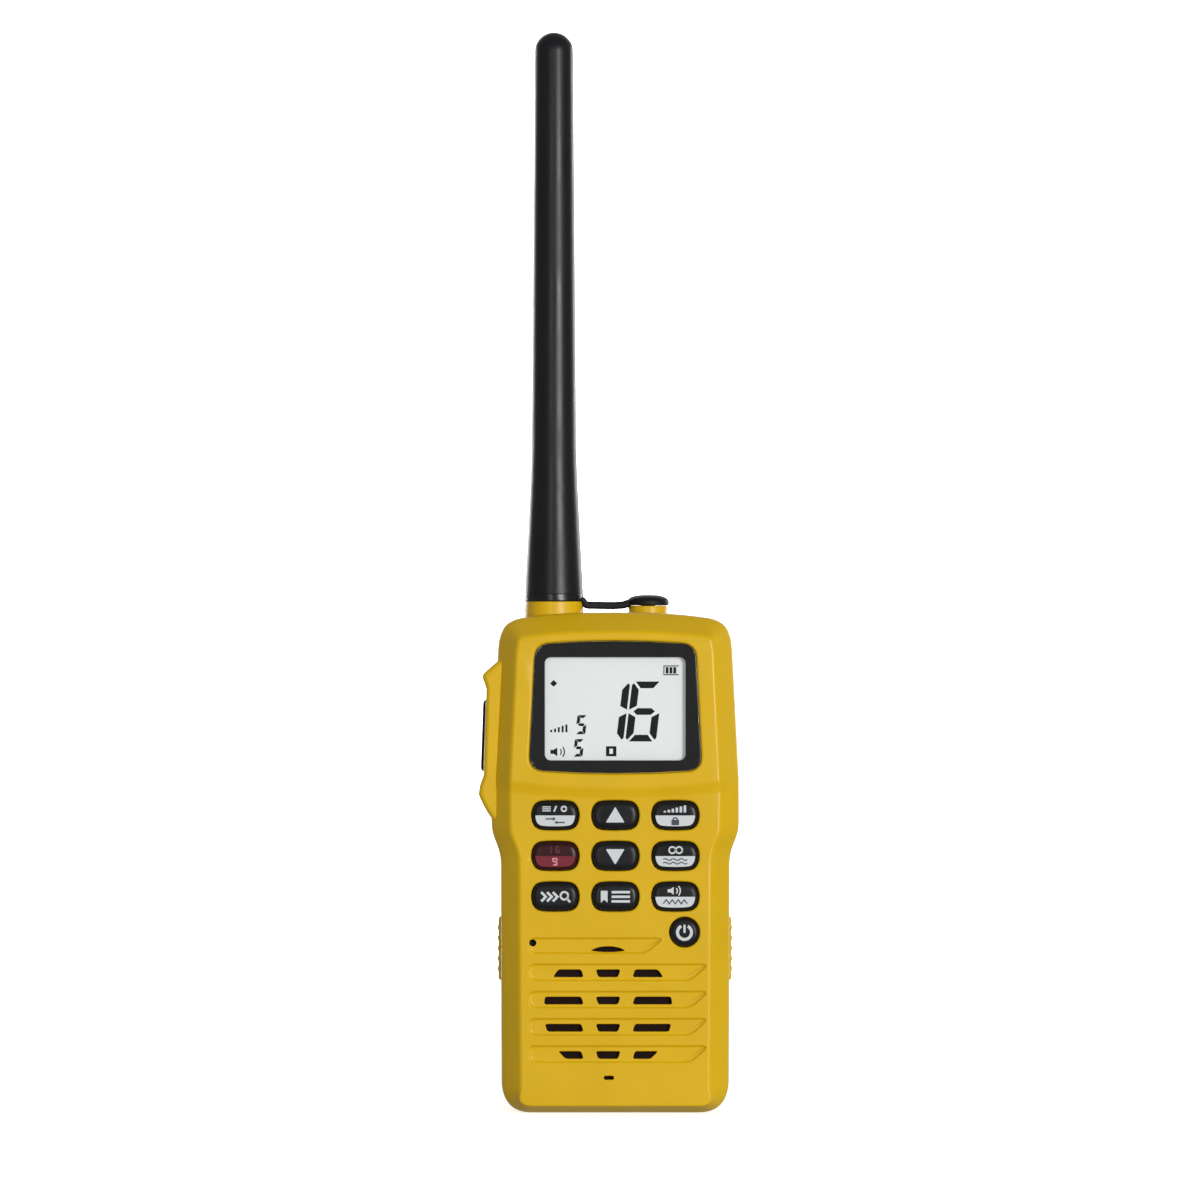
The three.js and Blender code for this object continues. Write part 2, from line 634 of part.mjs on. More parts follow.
const boardBottom = speakerZ + speaker.r + 0.4;
const matShape = () => {
  const side = pitch.x + key.width / 2 + key.flange + 0.5;
  const low = rowZ(0) - key.height / 2 - key.flange - 1.0;
  const high = rowZ(2) + key.height / 2 + key.flange + 1.0;
  const grip = powerKey.r + key.flange + 0.9;
  return polygon([
    [-side, low],
    [powerKey.x - grip, low],
    [powerKey.x - grip, powerZ - grip],
    [Math.min(powerKey.x + grip, side + 0.1), powerZ - grip],
    [Math.min(powerKey.x + grip, side + 0.1), low],
    [side + 0.1, low],
    [side + 0.1, high],
    [-side, high],
  ]);
};
const keypadMat = () =>
  cut(
    prism(matShape(), matY, matY + board.mat),
    ...keyPlaces.map(({ x, z }) => prism(keyShape(key.flange + fit, x, z), matY - slip, matY + 3, 0, key.segments)),
    prism(circle(powerKey.r + key.flange + fit, powerKey.x, powerZ), matY - slip, matY + 3, 0, 10),
  );
const domeSheet = () => {
  const back = boardY - touch;
  const domeAt = ({ x, z }) =>
    moved(
      turned([[0, back], [dome.r, back], [dome.r, back - dome.sheet], [dome.r * 0.5, back - dome.sheet - dome.rise],
        [0, back - dome.sheet - dome.rise]], dome.segments, "y"),
      x, 0, z,
    );
  const sheet = prism(matShape(), back - dome.sheet, back);
  return join(sheet, ...[...keyPlaces, { x: powerKey.x, z: powerZ }].map(domeAt));
};
const frontBoard = () => {
  const high = windowTop - 1;
  const low = Math.min(boardBottom + 3.4, powerZ - powerKey.r - 1.6);
  return join(
    prism(
      polygon([
        [-boardHalf, rowZ(0) - 6],
        [4, rowZ(0) - 6],
        [powerKey.x - 6, low],
        [boardHalf - 1, low],
        [boardHalf, rowZ(0) - 6],
        [boardHalf, high],
        [-boardHalf, high],
      ]),
      boardY,
      boardBack,
    ),
  );
};
const chassisHalf = { left: boardHalf - 5.5, right: boardHalf - 0.2 };
const chassisPlate = () => {
  const { left, right } = chassisHalf;
  const plate = box(-left, right, chassisY, chassisBack, innards.low, innards.high);
  const lip = 2.4;
  const flank = (x) => box(x, x + 1.4, chassisY, chassisBack + lip, speakerZ + speaker.r + 2, innards.high);
  const holes = bossPlaces().map(({ x, z }) => moved(rod(bossR + 0.5, chassisY - 1, chassisBack + 1, 16, "y"), x, 0, z));
  return cut(
    join(plate, flank(-left), flank(right - 1.4)),
    moved(rod(speaker.magnetR + 1.9, chassisY - 1, chassisBack + 1, 24, "y"), speaker.x, 0, speakerZ),
    box(-9, 9, chassisY - 1, chassisBack + 1, rowZ(2) + 2, rowZ(2) + 8),
    ...holes,
  );
};
const rfBoard = () => {
  const [left, right] = [chassisHalf.left - 2, chassisHalf.right - 2];
  return box(-left, right, rfY, rfBack, speakerZ + speaker.r + 4, innards.high - 1);
};
const boardConnector = () => box(-7, 7, boardBack + touch, rfY - touch, rowZ(2) + 3, rowZ(2) + 7);
const shieldCan = () => {
  const [back, low, high] = [bayFront - 1.4, speakerZ + speaker.r + 8, innards.high - 8];
  const [left, right] = [chassisHalf.left - 5, chassisHalf.right - 7];
  const t = board.shield;
  return cut(
    box(-left, right, rfBack + touch, back, low, high),
    box(-left + t, right - t, rfBack - 1, back - t, low + t, high - t),
  );
};

// ---------------------------------------------------------------- sound

const atSpeaker = (made) => moved(made, speaker.x, 0, speakerZ);
const speakerBack = innerFace + 0.5 + speaker.depth;
const speakerMembrane = () => atSpeaker(rod(speaker.r - 0.2, innerFace + 0.1, innerFace + 0.35, 28, "y"));
const speakerFrame = () => {
  const front = innerFace + 0.45;
  return atSpeaker(
    turned(
      [[speaker.r - 1.6, front], [speaker.r - 0.1, front], [speaker.r - 0.1, front + 1.2],
        [speaker.magnetR + 1.4, speakerBack - 0.8], [speaker.magnetR + 1.4, speakerBack], [3, speakerBack],
        [3, speakerBack - 0.8], [speaker.magnetR + 0.6, speakerBack - 0.8], [speaker.r - 1.6, front + 1.4],
        [speaker.r - 1.6, front]],
      28, "y",
    ),
  );
};
const speakerCone = () => {
  const front = innerFace + 0.7;
  const rim = speaker.r - 1.9;
  return atSpeaker(
    turned(
      [[0, front + 0.7], [3.4, front + 1.1], [5.4, front + 2.6], [rim - 1.2, front], [rim, front], [rim, front + 0.4],
        [rim - 1.0, front + 0.4], [5.6, front + 3.1], [3.2, front + 1.6], [0, front + 1.2]],
      28, "y",
    ),
  );
};
const speakerMagnet = () =>
  atSpeaker(
    turned(
      [[0, speakerBack + touch], [speaker.magnetR, speakerBack + touch],
        [speaker.magnetR, speakerBack + speaker.magnetDepth - 0.5],
        [speaker.magnetR - 0.5, speakerBack + speaker.magnetDepth], [0, speakerBack + speaker.magnetDepth]],
      28, "y",
    ),
  );
const micFront = innerFace + 0.1;
const micBoot = () =>
  moved(
    turned(
      [[mic.r - 0.5, micFront], [mic.r + mic.boot, micFront], [mic.r + mic.boot, micFront + mic.length + 0.4],
        [mic.r + 0.05, micFront + mic.length + 0.4], [mic.r + 0.05, micFront + 0.5], [mic.r - 0.5, micFront + 0.5],
        [mic.r - 0.5, micFront]],
      14, "y",
    ),
    mic.x + mic.shift, 0, micZ,
  );
const micCapsule = () =>
  moved(rod(mic.r, micFront + 0.55, micFront + 0.5 + mic.length, 14, "y"), mic.x + mic.shift, 0, micZ);

// ---------------------------------------------------------------- talk key

const talkPanel = () =>
  cut(
    flankPlate(talkSpan - 3 - 2 * fit, talk.panelWidth, 3.0, -talk.panelProud, talk.panelDepth - touch, 0.3),
    flankPlate(talk.keyLength + 2 * fit, talk.keyWidth + 2 * fit, 2.6, -2, 3),
  );
const talkKey = () => {
  const ribs = [-2, -1, 0, 1, 2].map((i) =>
    solid(new THREE.BoxGeometry(0.5, talk.keyWidth - 3, 0.9).translate(-talk.keyProud - 0.05, 0, i * 2.4)),
  );
  return join(
    flankPlate(talk.keyLength, talk.keyWidth, 2.4, -talk.keyProud, talk.keyDepth, 0.4),
    flankPlate(talk.keyLength - 5, talk.keyWidth - 4, 1.4, 0, talk.stem),
    ...ribs,
  );
};
const switchX = talkMiddle.x + talk.stem + talk.travel + 0.2;
const talkSwitch = () => {
  const halfZ = 3;
  const body = box(switchX + 0.8, switchX + 3.4, talkMiddle.y - 3, talkMiddle.y + 3, talkMiddle.z - halfZ, talkMiddle.z + halfZ);
  const button = solid(
    new THREE.CylinderGeometry(1.6, 1.6, 1.0, 14).rotateZ(Math.PI / 2).translate(switchX + 0.5, talkMiddle.y, talkMiddle.z),
  );
  return join(body, button);
};

// ---------------------------------------------------------------- aerial and jack

const atAerial = (made) => moved(made, aerial.x, 0, 0);
const aerialSocket = () =>
  atAerial(
    cut(
      join(rod(collar.bush, bushFoot, collarTop - touch, 28), rod(2.2, bushFoot - 1.0, bushFoot + 1, 12)),
      rod(stud.r + 0.3, collarTop - stud.length - 1.5, collarTop + slip, 24),
    ),
  );
const aerialFeed = () => {
  const [x, z] = [aerial.x, bushFoot - 1.1];
  return join(
    box(x - 1, x + 1, rfBack + 0.1, 0.8, z - 0.4, z - touch),
    box(x - 1, x + 1, rfBack + 0.1, rfBack + 0.5, z - 4.2, z - touch),
  );
};
const aerialSeal = () => {
  const turns = 6;
  const ring = [];
  for (let i = 0; i <= turns; i++) {
    const a = (i / turns) * Math.PI * 2;
    ring.push([seal.major + seal.r * Math.sin(a), sealZ - seal.r * Math.cos(a)]);
  }
  return atAerial(turned(ring, 20));
};
const whip = () => {
  const top = aerialZ + aerial.length;
  const neckZ = aerialZ + aerial.neckRise;
  const flare = new THREE.QuadraticBezierCurve(
    new THREE.Vector2(aerial.base, aerialZ),
    new THREE.Vector2(aerial.neck + 0.5, aerialZ + aerial.neckRise * 0.55),
    new THREE.Vector2(aerial.neck, neckZ),
  ).getPoints(6);
  const profile = flare.map((p) => [p.x, p.y]);
  const steps = 5;
  for (let i = 0; i <= steps; i++) {
    const a = (i / steps) * (Math.PI / 2);
    profile.push([aerial.tip * Math.cos(a), top - aerial.tip + aerial.tip * Math.sin(a)]);
  }
  const roof = top - 9;
  profile.push([0, roof], [aerial.bore * 0.5, roof - 1], [aerial.bore, roof - 6]);
  profile.push([aerial.bore, aerialZ + stud.flange + 0.1], [stud.flangeR + 0.1, aerialZ + stud.flange + 0.1]);
  profile.push([stud.flangeR + 0.1, aerialZ], [aerial.base, aerialZ]);
  profile[flare.length + steps][0] = 0;
  return atAerial(turned(profile, 24));
};
const aerialStud = () => {
  const face = aerialZ + touch;
  return atAerial(
    turned(
      [[0, collarTop - stud.length], [stud.r - 0.5, collarTop - stud.length], [stud.r, collarTop - stud.length + 0.6],
        [stud.r, face], [stud.flangeR, face], [stud.flangeR, face + stud.flange - touch],
        [stud.shank, face + stud.flange - touch], [stud.shank, aerialZ + stud.shankRise], [0, aerialZ + stud.shankRise]],
      20,
    ),
  );
};
const aerialCoil = () => {
  const from = aerialZ + stud.shankRise + 1.0;
  const to = aerialZ + aerial.length - 18;
  const turns = Math.floor((to - from) / coil.pitch);
  class Helix extends THREE.Curve {
    getPoint(t, target = new THREE.Vector3()) {
      const a = t * turns * Math.PI * 2;
      return target.set(coil.r * Math.cos(a), coil.r * Math.sin(a), from + t * turns * coil.pitch);
    }
  }
  const wire = new THREE.ExtrudeGeometry(
    new THREE.Shape(
      Array.from({ length: coil.sides }, (_, i) => {
        const a = (i / coil.sides) * Math.PI * 2;
        return new THREE.Vector2(coil.wire * Math.cos(a), coil.wire * Math.sin(a));
      }),
    ),
    { steps: turns * coil.steps, extrudePath: new Helix(), bevelEnabled: false },
  );
  return atAerial(solid(wire));
};

const strapRootX = aerial.x + collar.r + 0.6;
const tetherRing = () => atAerial(tube(collar.r - 0.1, seal.major + seal.r + 0.25, collarTop + touch, ringTop, 28));
const bossTop = height + jack.bossRise;
const jackCap = () => {
  const under = bossTop + touch;
  const top = under + cap.height;
  const head = moved(
    turned([[0, under], [cap.r - 0.3, under], [cap.r, under + 0.4], [cap.r - 0.1, top - 0.9], [cap.r - 0.9, top - 0.15],
      [cap.r * 0.5, top], [0, top]], 24),
    jack.x, 0, 0,
  );
  const plug = moved(
    turned([[0, under - cap.plugLength], [cap.plug - 0.4, under - cap.plugLength], [cap.plug, under - cap.plugLength + 0.7],
      [cap.plug, under + 0.2], [0, under + 0.2]], 16),
    jack.x, 0, 0,
  );
  const end = jack.x - cap.r + 0.8;
  const rootTop = ringTop - 0.1;
  const lie = under + 0.1; // underside of the strap beside the cap
  const side = polygon([
    [strapRootX, rootTop - strap.thick - 0.2],
    [strapRootX + 1.6, lie + 0.15],
    [end, lie],
    [end, lie + strap.thick],
    [strapRootX + 1.9, lie + 0.15 + strap.thick],
    [strapRootX, rootTop],
  ]);
  return join(head, plug, prism(side, -strap.width / 2, strap.width / 2, 0.2));
};
const jackSocket = () => {
  const top = height - 2.8;
  const half = jack.socket / 2;
  return cut(
    box(jack.x - half, jack.x + half, -half, half, top - jack.socketLength, top),
    moved(rod(jack.hole, top - jack.socketLength + 2, top + slip, 16), jack.x, 0, 0),
  );
};

// ---------------------------------------------------------------- battery pack

const tongueHalf = bayHalf - fit;
const tongueShape = (margin) => {
  const [low, high] = [bay.inset + bay.wall + fit - margin, packTop - 1.2 - fit + margin];
  return roundRect(2 * (tongueHalf + margin), high - low, 4.2 + margin, 0, (low + high) / 2);
};
const packCut = (grow = 0) => box(-2 * gripHalf, 2 * gripHalf, -99, 99, -9, packTop + grow);
const cellHalf = tongueHalf - 3.2;
const batteryShell = () => {
  const skin = loft([
    ringAt(packY, 0),
    ringAt(packBack - pack.backBevel, 0),
    ringAt(packBack - 0.5, pack.backBevel - 0.7, 1.6),
    ringAt(packBack, pack.backBevel, 2.2),
  ]).intersect(packCut());
  const hollow = loft([
    ringAt(packY - slip, pack.wall, pack.wall),
    ringAt(packBack - pack.backBevel, pack.wall, pack.wall),
    ringAt(packBack - pack.wall, pack.wall + pack.backBevel - 1, pack.wall + 1),
  ]).intersect(packCut(-pack.wall));
  const earX = clip.width / 2 + fit;
  const ears = [-1, 1].map((side) => {
    const [a, b] = [side * earX, side * (earX + clip.ear)];
    const ear = new THREE.Shape();
    ear.moveTo(packBack - 0.5, clip.pinZ - 4.6);
    ear.lineTo(pinY, clip.pinZ - clip.hub);
    ear.absarc(pinY, clip.pinZ, clip.hub, -Math.PI / 2, Math.PI / 2);
    ear.lineTo(packBack - 0.5, clip.pinZ + 4.6);
    const plate = new THREE.ExtrudeGeometry(ear, { depth: clip.ear, curveSegments: 8, bevelEnabled: false });
    // The ear is drawn in Y and Z, so its sheet turns to stand along X.
    plate.applyMatrix4(new THREE.Matrix4().set(0, 0, 1, Math.min(a, b), 1, 0, 0, 0, 0, 1, 0, 0, 0, 0, 0, 1));
    return solid(plate);
  });
  const tabHoles = [-1, 1].map((side) => {
    const [a, b] = [side * (footHalf - pack.wall - 0.6), side * (footHalf + 2)];
    return box(Math.min(a, b), Math.max(a, b), latchY - latch.width / 2 - fit, latchY + latch.width / 2 + fit,
      latchZ - latch.length / 2 - fit, latchZ + latch.length / 2 + fit);
  });
  const pinHole = solid(
    new THREE.CylinderGeometry(clip.pinR + 0.05, clip.pinR + 0.05, 2 * (earX + clip.ear) + 2, 14)
      .rotateZ(Math.PI / 2)
      .translate(0, pinY, clip.pinZ),
  );
  const pads = [-1, 1].map((side) => moved(rod(charge.r + 0.1, -slip, charge.thick + touch, 14), side * charge.x, chargeY, 0));
  return cut(join(cut(skin, hollow), ...ears), ...tabHoles, pinHole, ...pads);
};
const pinY = packBack + clip.gap - clip.hub;
const latchY = packY + latch.width / 2 + 0.4;
const chargeY = packY + 3.2;

const batteryLid = () => {
  const front = bayFloor + fit;
  const rim = packY - touch;
  const plate = prism(tongueShape(0), front, rim, 0.3, 4);
  const hollow = prism(tongueShape(-1.4), front + 1.2, rim + slip, 0, 3);
  const notches = [-1, 1].map((side) => {
    const [a, b] = [side * (tongueHalf - 1.9), side * (tongueHalf + 2)];
    return box(Math.min(a, b), Math.max(a, b), partY - 1.4, rim + slip, latchZ - latch.hook / 2 - 0.4, latchZ + latch.hook / 2 + 0.4);
  });
  const notchBacks = [-1, 1].map((side) => {
    const [a, b] = [side * (tongueHalf - 2.7), side * (tongueHalf - 0.8)];
    return box(Math.min(a, b), Math.max(a, b), front + 0.6, rim, latchZ - latch.hook / 2 - 1.4, latchZ + latch.hook / 2 + 1.4);
  });
  const cutOut = prism(roundRect(17.4, 5.6, 0.6, 0, terminalZ), front - slip, front + 1.2 + slip, 0, 2);
  return cut(join(cut(plate, hollow), ...notchBacks), ...notches, cutOut);
};
const cellSize = {
  width: cellHalf - pack.cellGap / 2 - 0.2,
  low: bay.inset + bay.wall + fit + 2.2,
  high: packTop - 16,
  front: bayFloor + fit + 1.4,
  back: packBack - pack.wall - 0.5,
};
const batteryCell = () =>
  prism(
    roundRect(cellSize.width, cellSize.high - cellSize.low, 1.2, 0, (cellSize.low + cellSize.high) / 2),
    cellSize.front, cellSize.back, 0.8, 2,
  );
const chargePad = () => rod(charge.r, 0.02, charge.thick, 14);

// Spring terminals that stand through the bay's floor, and the pack's own contact block.
const terminal = () => {
  const front = bayFront - 0.8;
  const blades = [-1, 0, 1].map((i) =>
    box(i * 5.4 - 1.2, i * 5.4 + 1.2, bayFloor - 0.6, bayFloor + 0.9, terminalZ - 1.8, terminalZ + 1.8),
  );
  return join(box(-9, 9, front, bayFloor - 0.4, terminalZ - 3, terminalZ + 3), ...blades);
};
const packTerminal = () => box(-8.4, 8.4, bayFloor + 1.3, bayFloor + fit + 3, terminalZ - 2.5, terminalZ + 2.5);

// A release tab: a ribbed pad that stands out of the pack's flank, a flange inside it and a hook.
const latchBody = (side) => {
  const outside = footHalf + 0.2 + latch.proud;
  const flankInside = footHalf - pack.wall - 0.15;
  const inner = outside - latch.thick;
  const flangeOut = flankInside - 0.1;
  const pad = prism(roundRect(latch.thick, latch.length, 0.6, outside - latch.thick / 2, latchZ),
    latchY - latch.width / 2, latchY + latch.width / 2, 0.4, 2);
  const ribs = [-2, -1, 0, 1, 2].map((i) =>
    box(outside - 0.3, outside + 0.2, latchY - latch.width / 2 + 0.8, latchY + latch.width / 2 - 0.8,
      latchZ + i * 2.6 - 0.45, latchZ + i * 2.6 + 0.45));
  const flange = box(inner - 0.3, flangeOut, latchY - latch.width / 2 - 0.3, latchY + latch.width / 2 + 0.3,
    latchZ - latch.length / 2 - 0.9, latchZ + latch.length / 2 + 0.9);
  const hookX = bayHalf + 0.1;
  const foot = box(hookX, inner, latchY - latch.width / 2 - 0.3, latchY - latch.width / 2 + 0.8,
    latchZ - latch.hook / 2 + 0.4, latchZ + latch.hook / 2 - 0.4);
  const arm = box(hookX, hookX + latch.arm, partY - 0.6, latchY - latch.width / 2,
    latchZ - latch.hook / 2 + 0.4, latchZ + latch.hook / 2 - 0.4);
  const made = join(pad, ...ribs, flange, foot, arm);
  return side > 0 ? made : solid(geometryOf(made).scale(-1, 1, 1));
};

// ---------------------------------------------------------------- belt clip

const beltClip = () => {
  const inside = packBack + clip.gap;
  const outside = inside + clip.thick;
  const foot = clip.pinZ - clip.length;
  const side = new THREE.Shape();
  side.moveTo(inside - 2.6, clip.pinZ + clip.tab);
  side.quadraticCurveTo(inside - 0.9, clip.pinZ + clip.tab * 0.6, inside, clip.pinZ + clip.hub);
  side.lineTo(inside, foot + 7);
  side.quadraticCurveTo(inside - 0.2, foot + 5, packBack + 0.5, foot + 2.6);
  side.lineTo(packBack + 0.5, foot + 1.2);
  side.quadraticCurveTo(packBack + 1.6, foot - 0.4, packBack + 3.2, foot);
  side.quadraticCurveTo(outside - 0.2, foot + 2.8, outside, foot + 9);
  side.lineTo(outside, clip.pinZ + clip.hub);
  side.quadraticCurveTo(outside - 0.6, clip.pinZ + clip.tab * 0.8, inside - 0.9, clip.pinZ + clip.tab + 0.5);
  const sheet = new THREE.ExtrudeGeometry(side, { depth: clip.width, curveSegments: 5, bevelEnabled: false });
  sheet.applyMatrix4(new THREE.Matrix4().set(0, 0, 1, -clip.width / 2, 1, 0, 0, 0, 0, 1, 0, 0, 0, 0, 0, 1));
  const plate = solid(sheet);
  // Seen from behind, the clip narrows towards its foot.
  const taper = prism(
    polygon([[-6.5, foot - 1], [6.5, foot - 1], [clip.width / 2, foot + 12], [clip.width / 2, clip.pinZ + clip.tab + 2],
      [-clip.width / 2, clip.pinZ + clip.tab + 2], [-clip.width / 2, foot + 12]]),
    packBack - 2, outside + 2,
  );
  const hubWidth = 4.2;
  const hubs = [-1, 1].map((s) => {
    const [a, b] = [s * (clip.width / 2), s * (clip.width / 2 - hubWidth)];
    return join(
      solid(
        new THREE.CylinderGeometry(clip.hub, clip.hub, hubWidth, 18)
          .rotateZ(Math.PI / 2)
          .translate((a + b) / 2, pinY, clip.pinZ),
      ),
      box(Math.min(a, b), Math.max(a, b), pinY, inside + 0.3, clip.pinZ - clip.hub, clip.pinZ + clip.hub),
    );
  });
  const pinHole = solid(
    new THREE.CylinderGeometry(clip.pinR + 0.06, clip.pinR + 0.06, clip.width + 2, 14)
      .rotateZ(Math.PI / 2)
      .translate(0, pinY, clip.pinZ),
  );
  return cut(join(plate.intersect(taper), ...hubs), pinHole);
};
const clipPin = () =>
  solid(
    new THREE.CylinderGeometry(clip.pinR, clip.pinR, 2 * (clip.width / 2 + fit + clip.ear) - 0.6, 14)
      .rotateZ(Math.PI / 2)
      .translate(0, pinY, clip.pinZ),
  );
const clipSpring = () => {
  const turns = 5;
  const [r, wire] = [clip.pinR + 0.65, 0.35];
  const half = clip.width / 2 - 4.2 - fit - wire;
  class Helix extends THREE.Curve {
    getPoint(t, target = new THREE.Vector3()) {
      const a = t * turns * Math.PI * 2;
      return target.set(-half + 2 * half * t, pinY + r * Math.cos(a), clip.pinZ + r * Math.sin(a));
    }
  }
  const section = new THREE.Shape(
    Array.from({ length: coil.sides }, (_, i) => {
      const a = (i / coil.sides) * Math.PI * 2;
      return new THREE.Vector2(wire * Math.cos(a), wire * Math.sin(a));
    }),
  );
  return solid(new THREE.ExtrudeGeometry(section, { steps: turns * 9, extrudePath: new Helix(), bevelEnabled: false }));
};

// ---------------------------------------------------------------- assembly

const radio = new THREE.Group();
const add = (name, made, material, parent = radio) => {
  const mesh = new THREE.Mesh(made.isBufferGeometry ? made : geometryOf(made), material);
  mesh.name = name;
  parent.add(mesh);
  return mesh;
};

add("front_case", frontCase(), yellow);
add("rear_case", rearCase(), yellow);
add("case_seal", caseSeal(), gasketBlack);
add("display_window", prism(windowShape(0), windowY, windowY + display.glass, 0.3, 4), clear);
add(
  "window_gasket",
  cut(prism(windowShape(-0.2), gasketY, gasketY + 0.35, 0, 4), prism(viewShape(0), gasketY - 1, gasketY + 1, 0, 3)),
  gasketBlack,
);
add("lcd_panel", lcdBox(lcdY, display.panel), liquidCrystal);
add("lcd_light_guide", lcdBox(guideY, display.guide, -0.4), diffuser);
add("keypad_mat", keypadMat(), silicone);
add("dome_sheet", domeSheet(), steel);
add("front_board", frontBoard(), circuit);
add("board_connector", boardConnector(), diffuser);
add("chassis", chassisPlate(), castMetal);
add("rf_board", rfBoard(), circuit);
add("shield_can", shieldCan(), tin);
add("speaker_membrane", speakerMembrane(), gasketBlack);
add("speaker_frame", speakerFrame(), steel);
add("speaker_cone", speakerCone(), cone);
add("speaker_magnet", speakerMagnet(), castMetal);
add("mic_capsule", micCapsule(), castMetal);
add("mic_boot", micBoot(), rubber);

for (const { name, x, z } of keyPlaces) {
  add(name, padKey(), name === "key_priority" ? redSilicone : silicone).position.set(x, 0, z);
}
add("key_power", roundKey(), silicone).position.set(powerKey.x, 0, powerZ);

const talkGroup = new THREE.Group();
talkGroup.position.set(talkMiddle.x, talkMiddle.y, talkMiddle.z);
talkGroup.rotation.y = talkTilt;
radio.add(talkGroup);
add("talk_panel", talkPanel(), rubber, talkGroup);
add("talk_key", talkKey(), rubber, talkGroup);
add("talk_switch", talkSwitch(), gasketBlack);

add("aerial_socket", aerialSocket(), brass);
add("aerial_feed", aerialFeed(), gold);
add("aerial_seal", aerialSeal(), rubber);
add("aerial_whip", whip(), rubber);
add("aerial_coil", aerialCoil(), brass);
add("aerial_stud", aerialStud(), brass);
add("tether_ring", tetherRing(), rubber);
add("jack_cap", jackCap(), rubber);
add("jack_socket", jackSocket(), gasketBlack);

bossPlaces().forEach(({ x, z, upper }, i) => {
  add(`case_screw_${i + 1}`, caseScrew(), steel).position.set(x, screwSeat(upper) + touch, z);
});

add("battery_terminal", terminal(), gold);
add("battery_shell", batteryShell(), yellow);
add("battery_lid", batteryLid(), rubber);
for (const [i, side] of [-1, 1].entries()) {
  const offset = side * (cellSize.width / 2 + pack.cellGap / 2);
  add(`battery_cell_${i + 1}`, batteryCell(), cell).position.x = offset;
  add(`charge_contact_${i + 1}`, chargePad(), gold).position.set(side * charge.x, chargeY, 0);
}
add("pack_terminal", packTerminal(), gasketBlack);
add("release_left", latchBody(-1), yellow);
add("release_right", latchBody(1), yellow);
add("belt_clip", beltClip(), rubber);
add("clip_pin", clipPin(), steel);
add("clip_spring", clipSpring(), steel);

export default radio;
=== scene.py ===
"""Looks of a handheld marine radio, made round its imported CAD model.

The scene is in metres, in the CAD's frame: +Z up, +X to the right of somebody facing the set, and the
face looks along -Y. The making functions below work in millimetres; piece() scales to metres once.
"""
import json
import math

import bmesh
import bpy
from mathutils import Matrix, Vector


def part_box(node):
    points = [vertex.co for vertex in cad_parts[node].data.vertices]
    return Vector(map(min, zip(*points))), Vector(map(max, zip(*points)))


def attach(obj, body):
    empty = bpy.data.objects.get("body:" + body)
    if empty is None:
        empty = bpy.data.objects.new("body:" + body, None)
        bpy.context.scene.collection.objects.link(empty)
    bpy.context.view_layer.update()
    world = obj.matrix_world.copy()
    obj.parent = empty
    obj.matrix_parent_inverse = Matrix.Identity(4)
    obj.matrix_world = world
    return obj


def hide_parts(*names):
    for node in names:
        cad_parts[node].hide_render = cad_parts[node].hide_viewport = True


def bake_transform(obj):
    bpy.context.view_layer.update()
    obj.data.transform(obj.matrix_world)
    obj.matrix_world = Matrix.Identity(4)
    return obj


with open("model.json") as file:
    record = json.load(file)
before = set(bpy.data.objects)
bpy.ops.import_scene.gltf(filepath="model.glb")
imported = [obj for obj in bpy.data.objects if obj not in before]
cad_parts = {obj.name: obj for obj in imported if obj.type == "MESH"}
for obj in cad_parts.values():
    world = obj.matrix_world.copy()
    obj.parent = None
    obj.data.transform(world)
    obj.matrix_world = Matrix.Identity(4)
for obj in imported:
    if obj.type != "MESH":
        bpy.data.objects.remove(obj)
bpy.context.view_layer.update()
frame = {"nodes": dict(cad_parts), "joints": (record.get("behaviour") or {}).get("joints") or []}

MM = 0.001


# ------------------------ places taken from the frame

def span(node):
    """Lowest and highest corner of a CAD node, in millimetres."""
    low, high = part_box(node)
    return low / MM, high / MM


def middle(node):
    low, high = span(node)
    return (low + high) / 2


def joint(name):
    return next(j for j in frame["joints"] if j["name"] == name)


KEYPAD = ("key_channel", "key_up", "key_power_level", "key_priority", "key_down", "key_dual_watch",
          "key_scan", "key_memory", "key_volume")

FIT = 0.3  # gap between a key and its opening
WALL = 2.0  # the case's wall
WINDOW_LOW, WINDOW_HIGH = span("display_window")
REAR_HIGH = span("rear_case")[1]
ROWS = [middle(k).z for k in ("key_memory", "key_down", "key_up")]  # heights of the keypad's rows
PLUNGER_TIP = span("key_up")[1].y

GRIP_HALF = REAR_HIGH.x  # half the width of the head
HEIGHT = REAR_HIGH.z  # of the case
FOOT_HALF = span("battery_lid")[1].x + 4.9  # half the width of the lower body
HEAD_HALF = GRIP_HALF - 1.7  # just below the top corners
WAIST = (ROWS[1] - 2.4, ROWS[2] - 1.1)
FACE = WINDOW_LOW.y + 0.4  # the keypad's plane
HOOD = 0.8  # how far the display's plateau stands out from it
PART = span("front_case")[1].y  # parting plane of the two halves
PACK_BACK = middle("charge_contact_1").y + 5.7  # rear face of the pack
AERIAL = middle("aerial_socket")
JACK = middle("jack_socket")
SPEAKER = middle("speaker_magnet")
MIC_X, MIC_Z = middle("mic_capsule").x - 1.0, middle("mic_capsule").z


# ------------------------ flat outlines, as (x, z) points

def arc(x, z, r, start, end, steps):
    """Points of a circle from one angle to another, in degrees."""
    angles = [math.radians(start + (end - start) * i / steps) for i in range(steps + 1)]
    return [(x + r * math.cos(a), z + r * math.sin(a)) for a in angles]


def curve(*handles, steps=8):
    """Points of a Bezier curve, without its first point."""
    def at(points, t):
        while len(points) > 1:
            points = [
                (a[0] + (b[0] - a[0]) * t, a[1] + (b[1] - a[1]) * t) for a, b in zip(points, points[1:])
            ]
        return points[0]
    return [at(handles, i / steps) for i in range(1, steps + 1)]


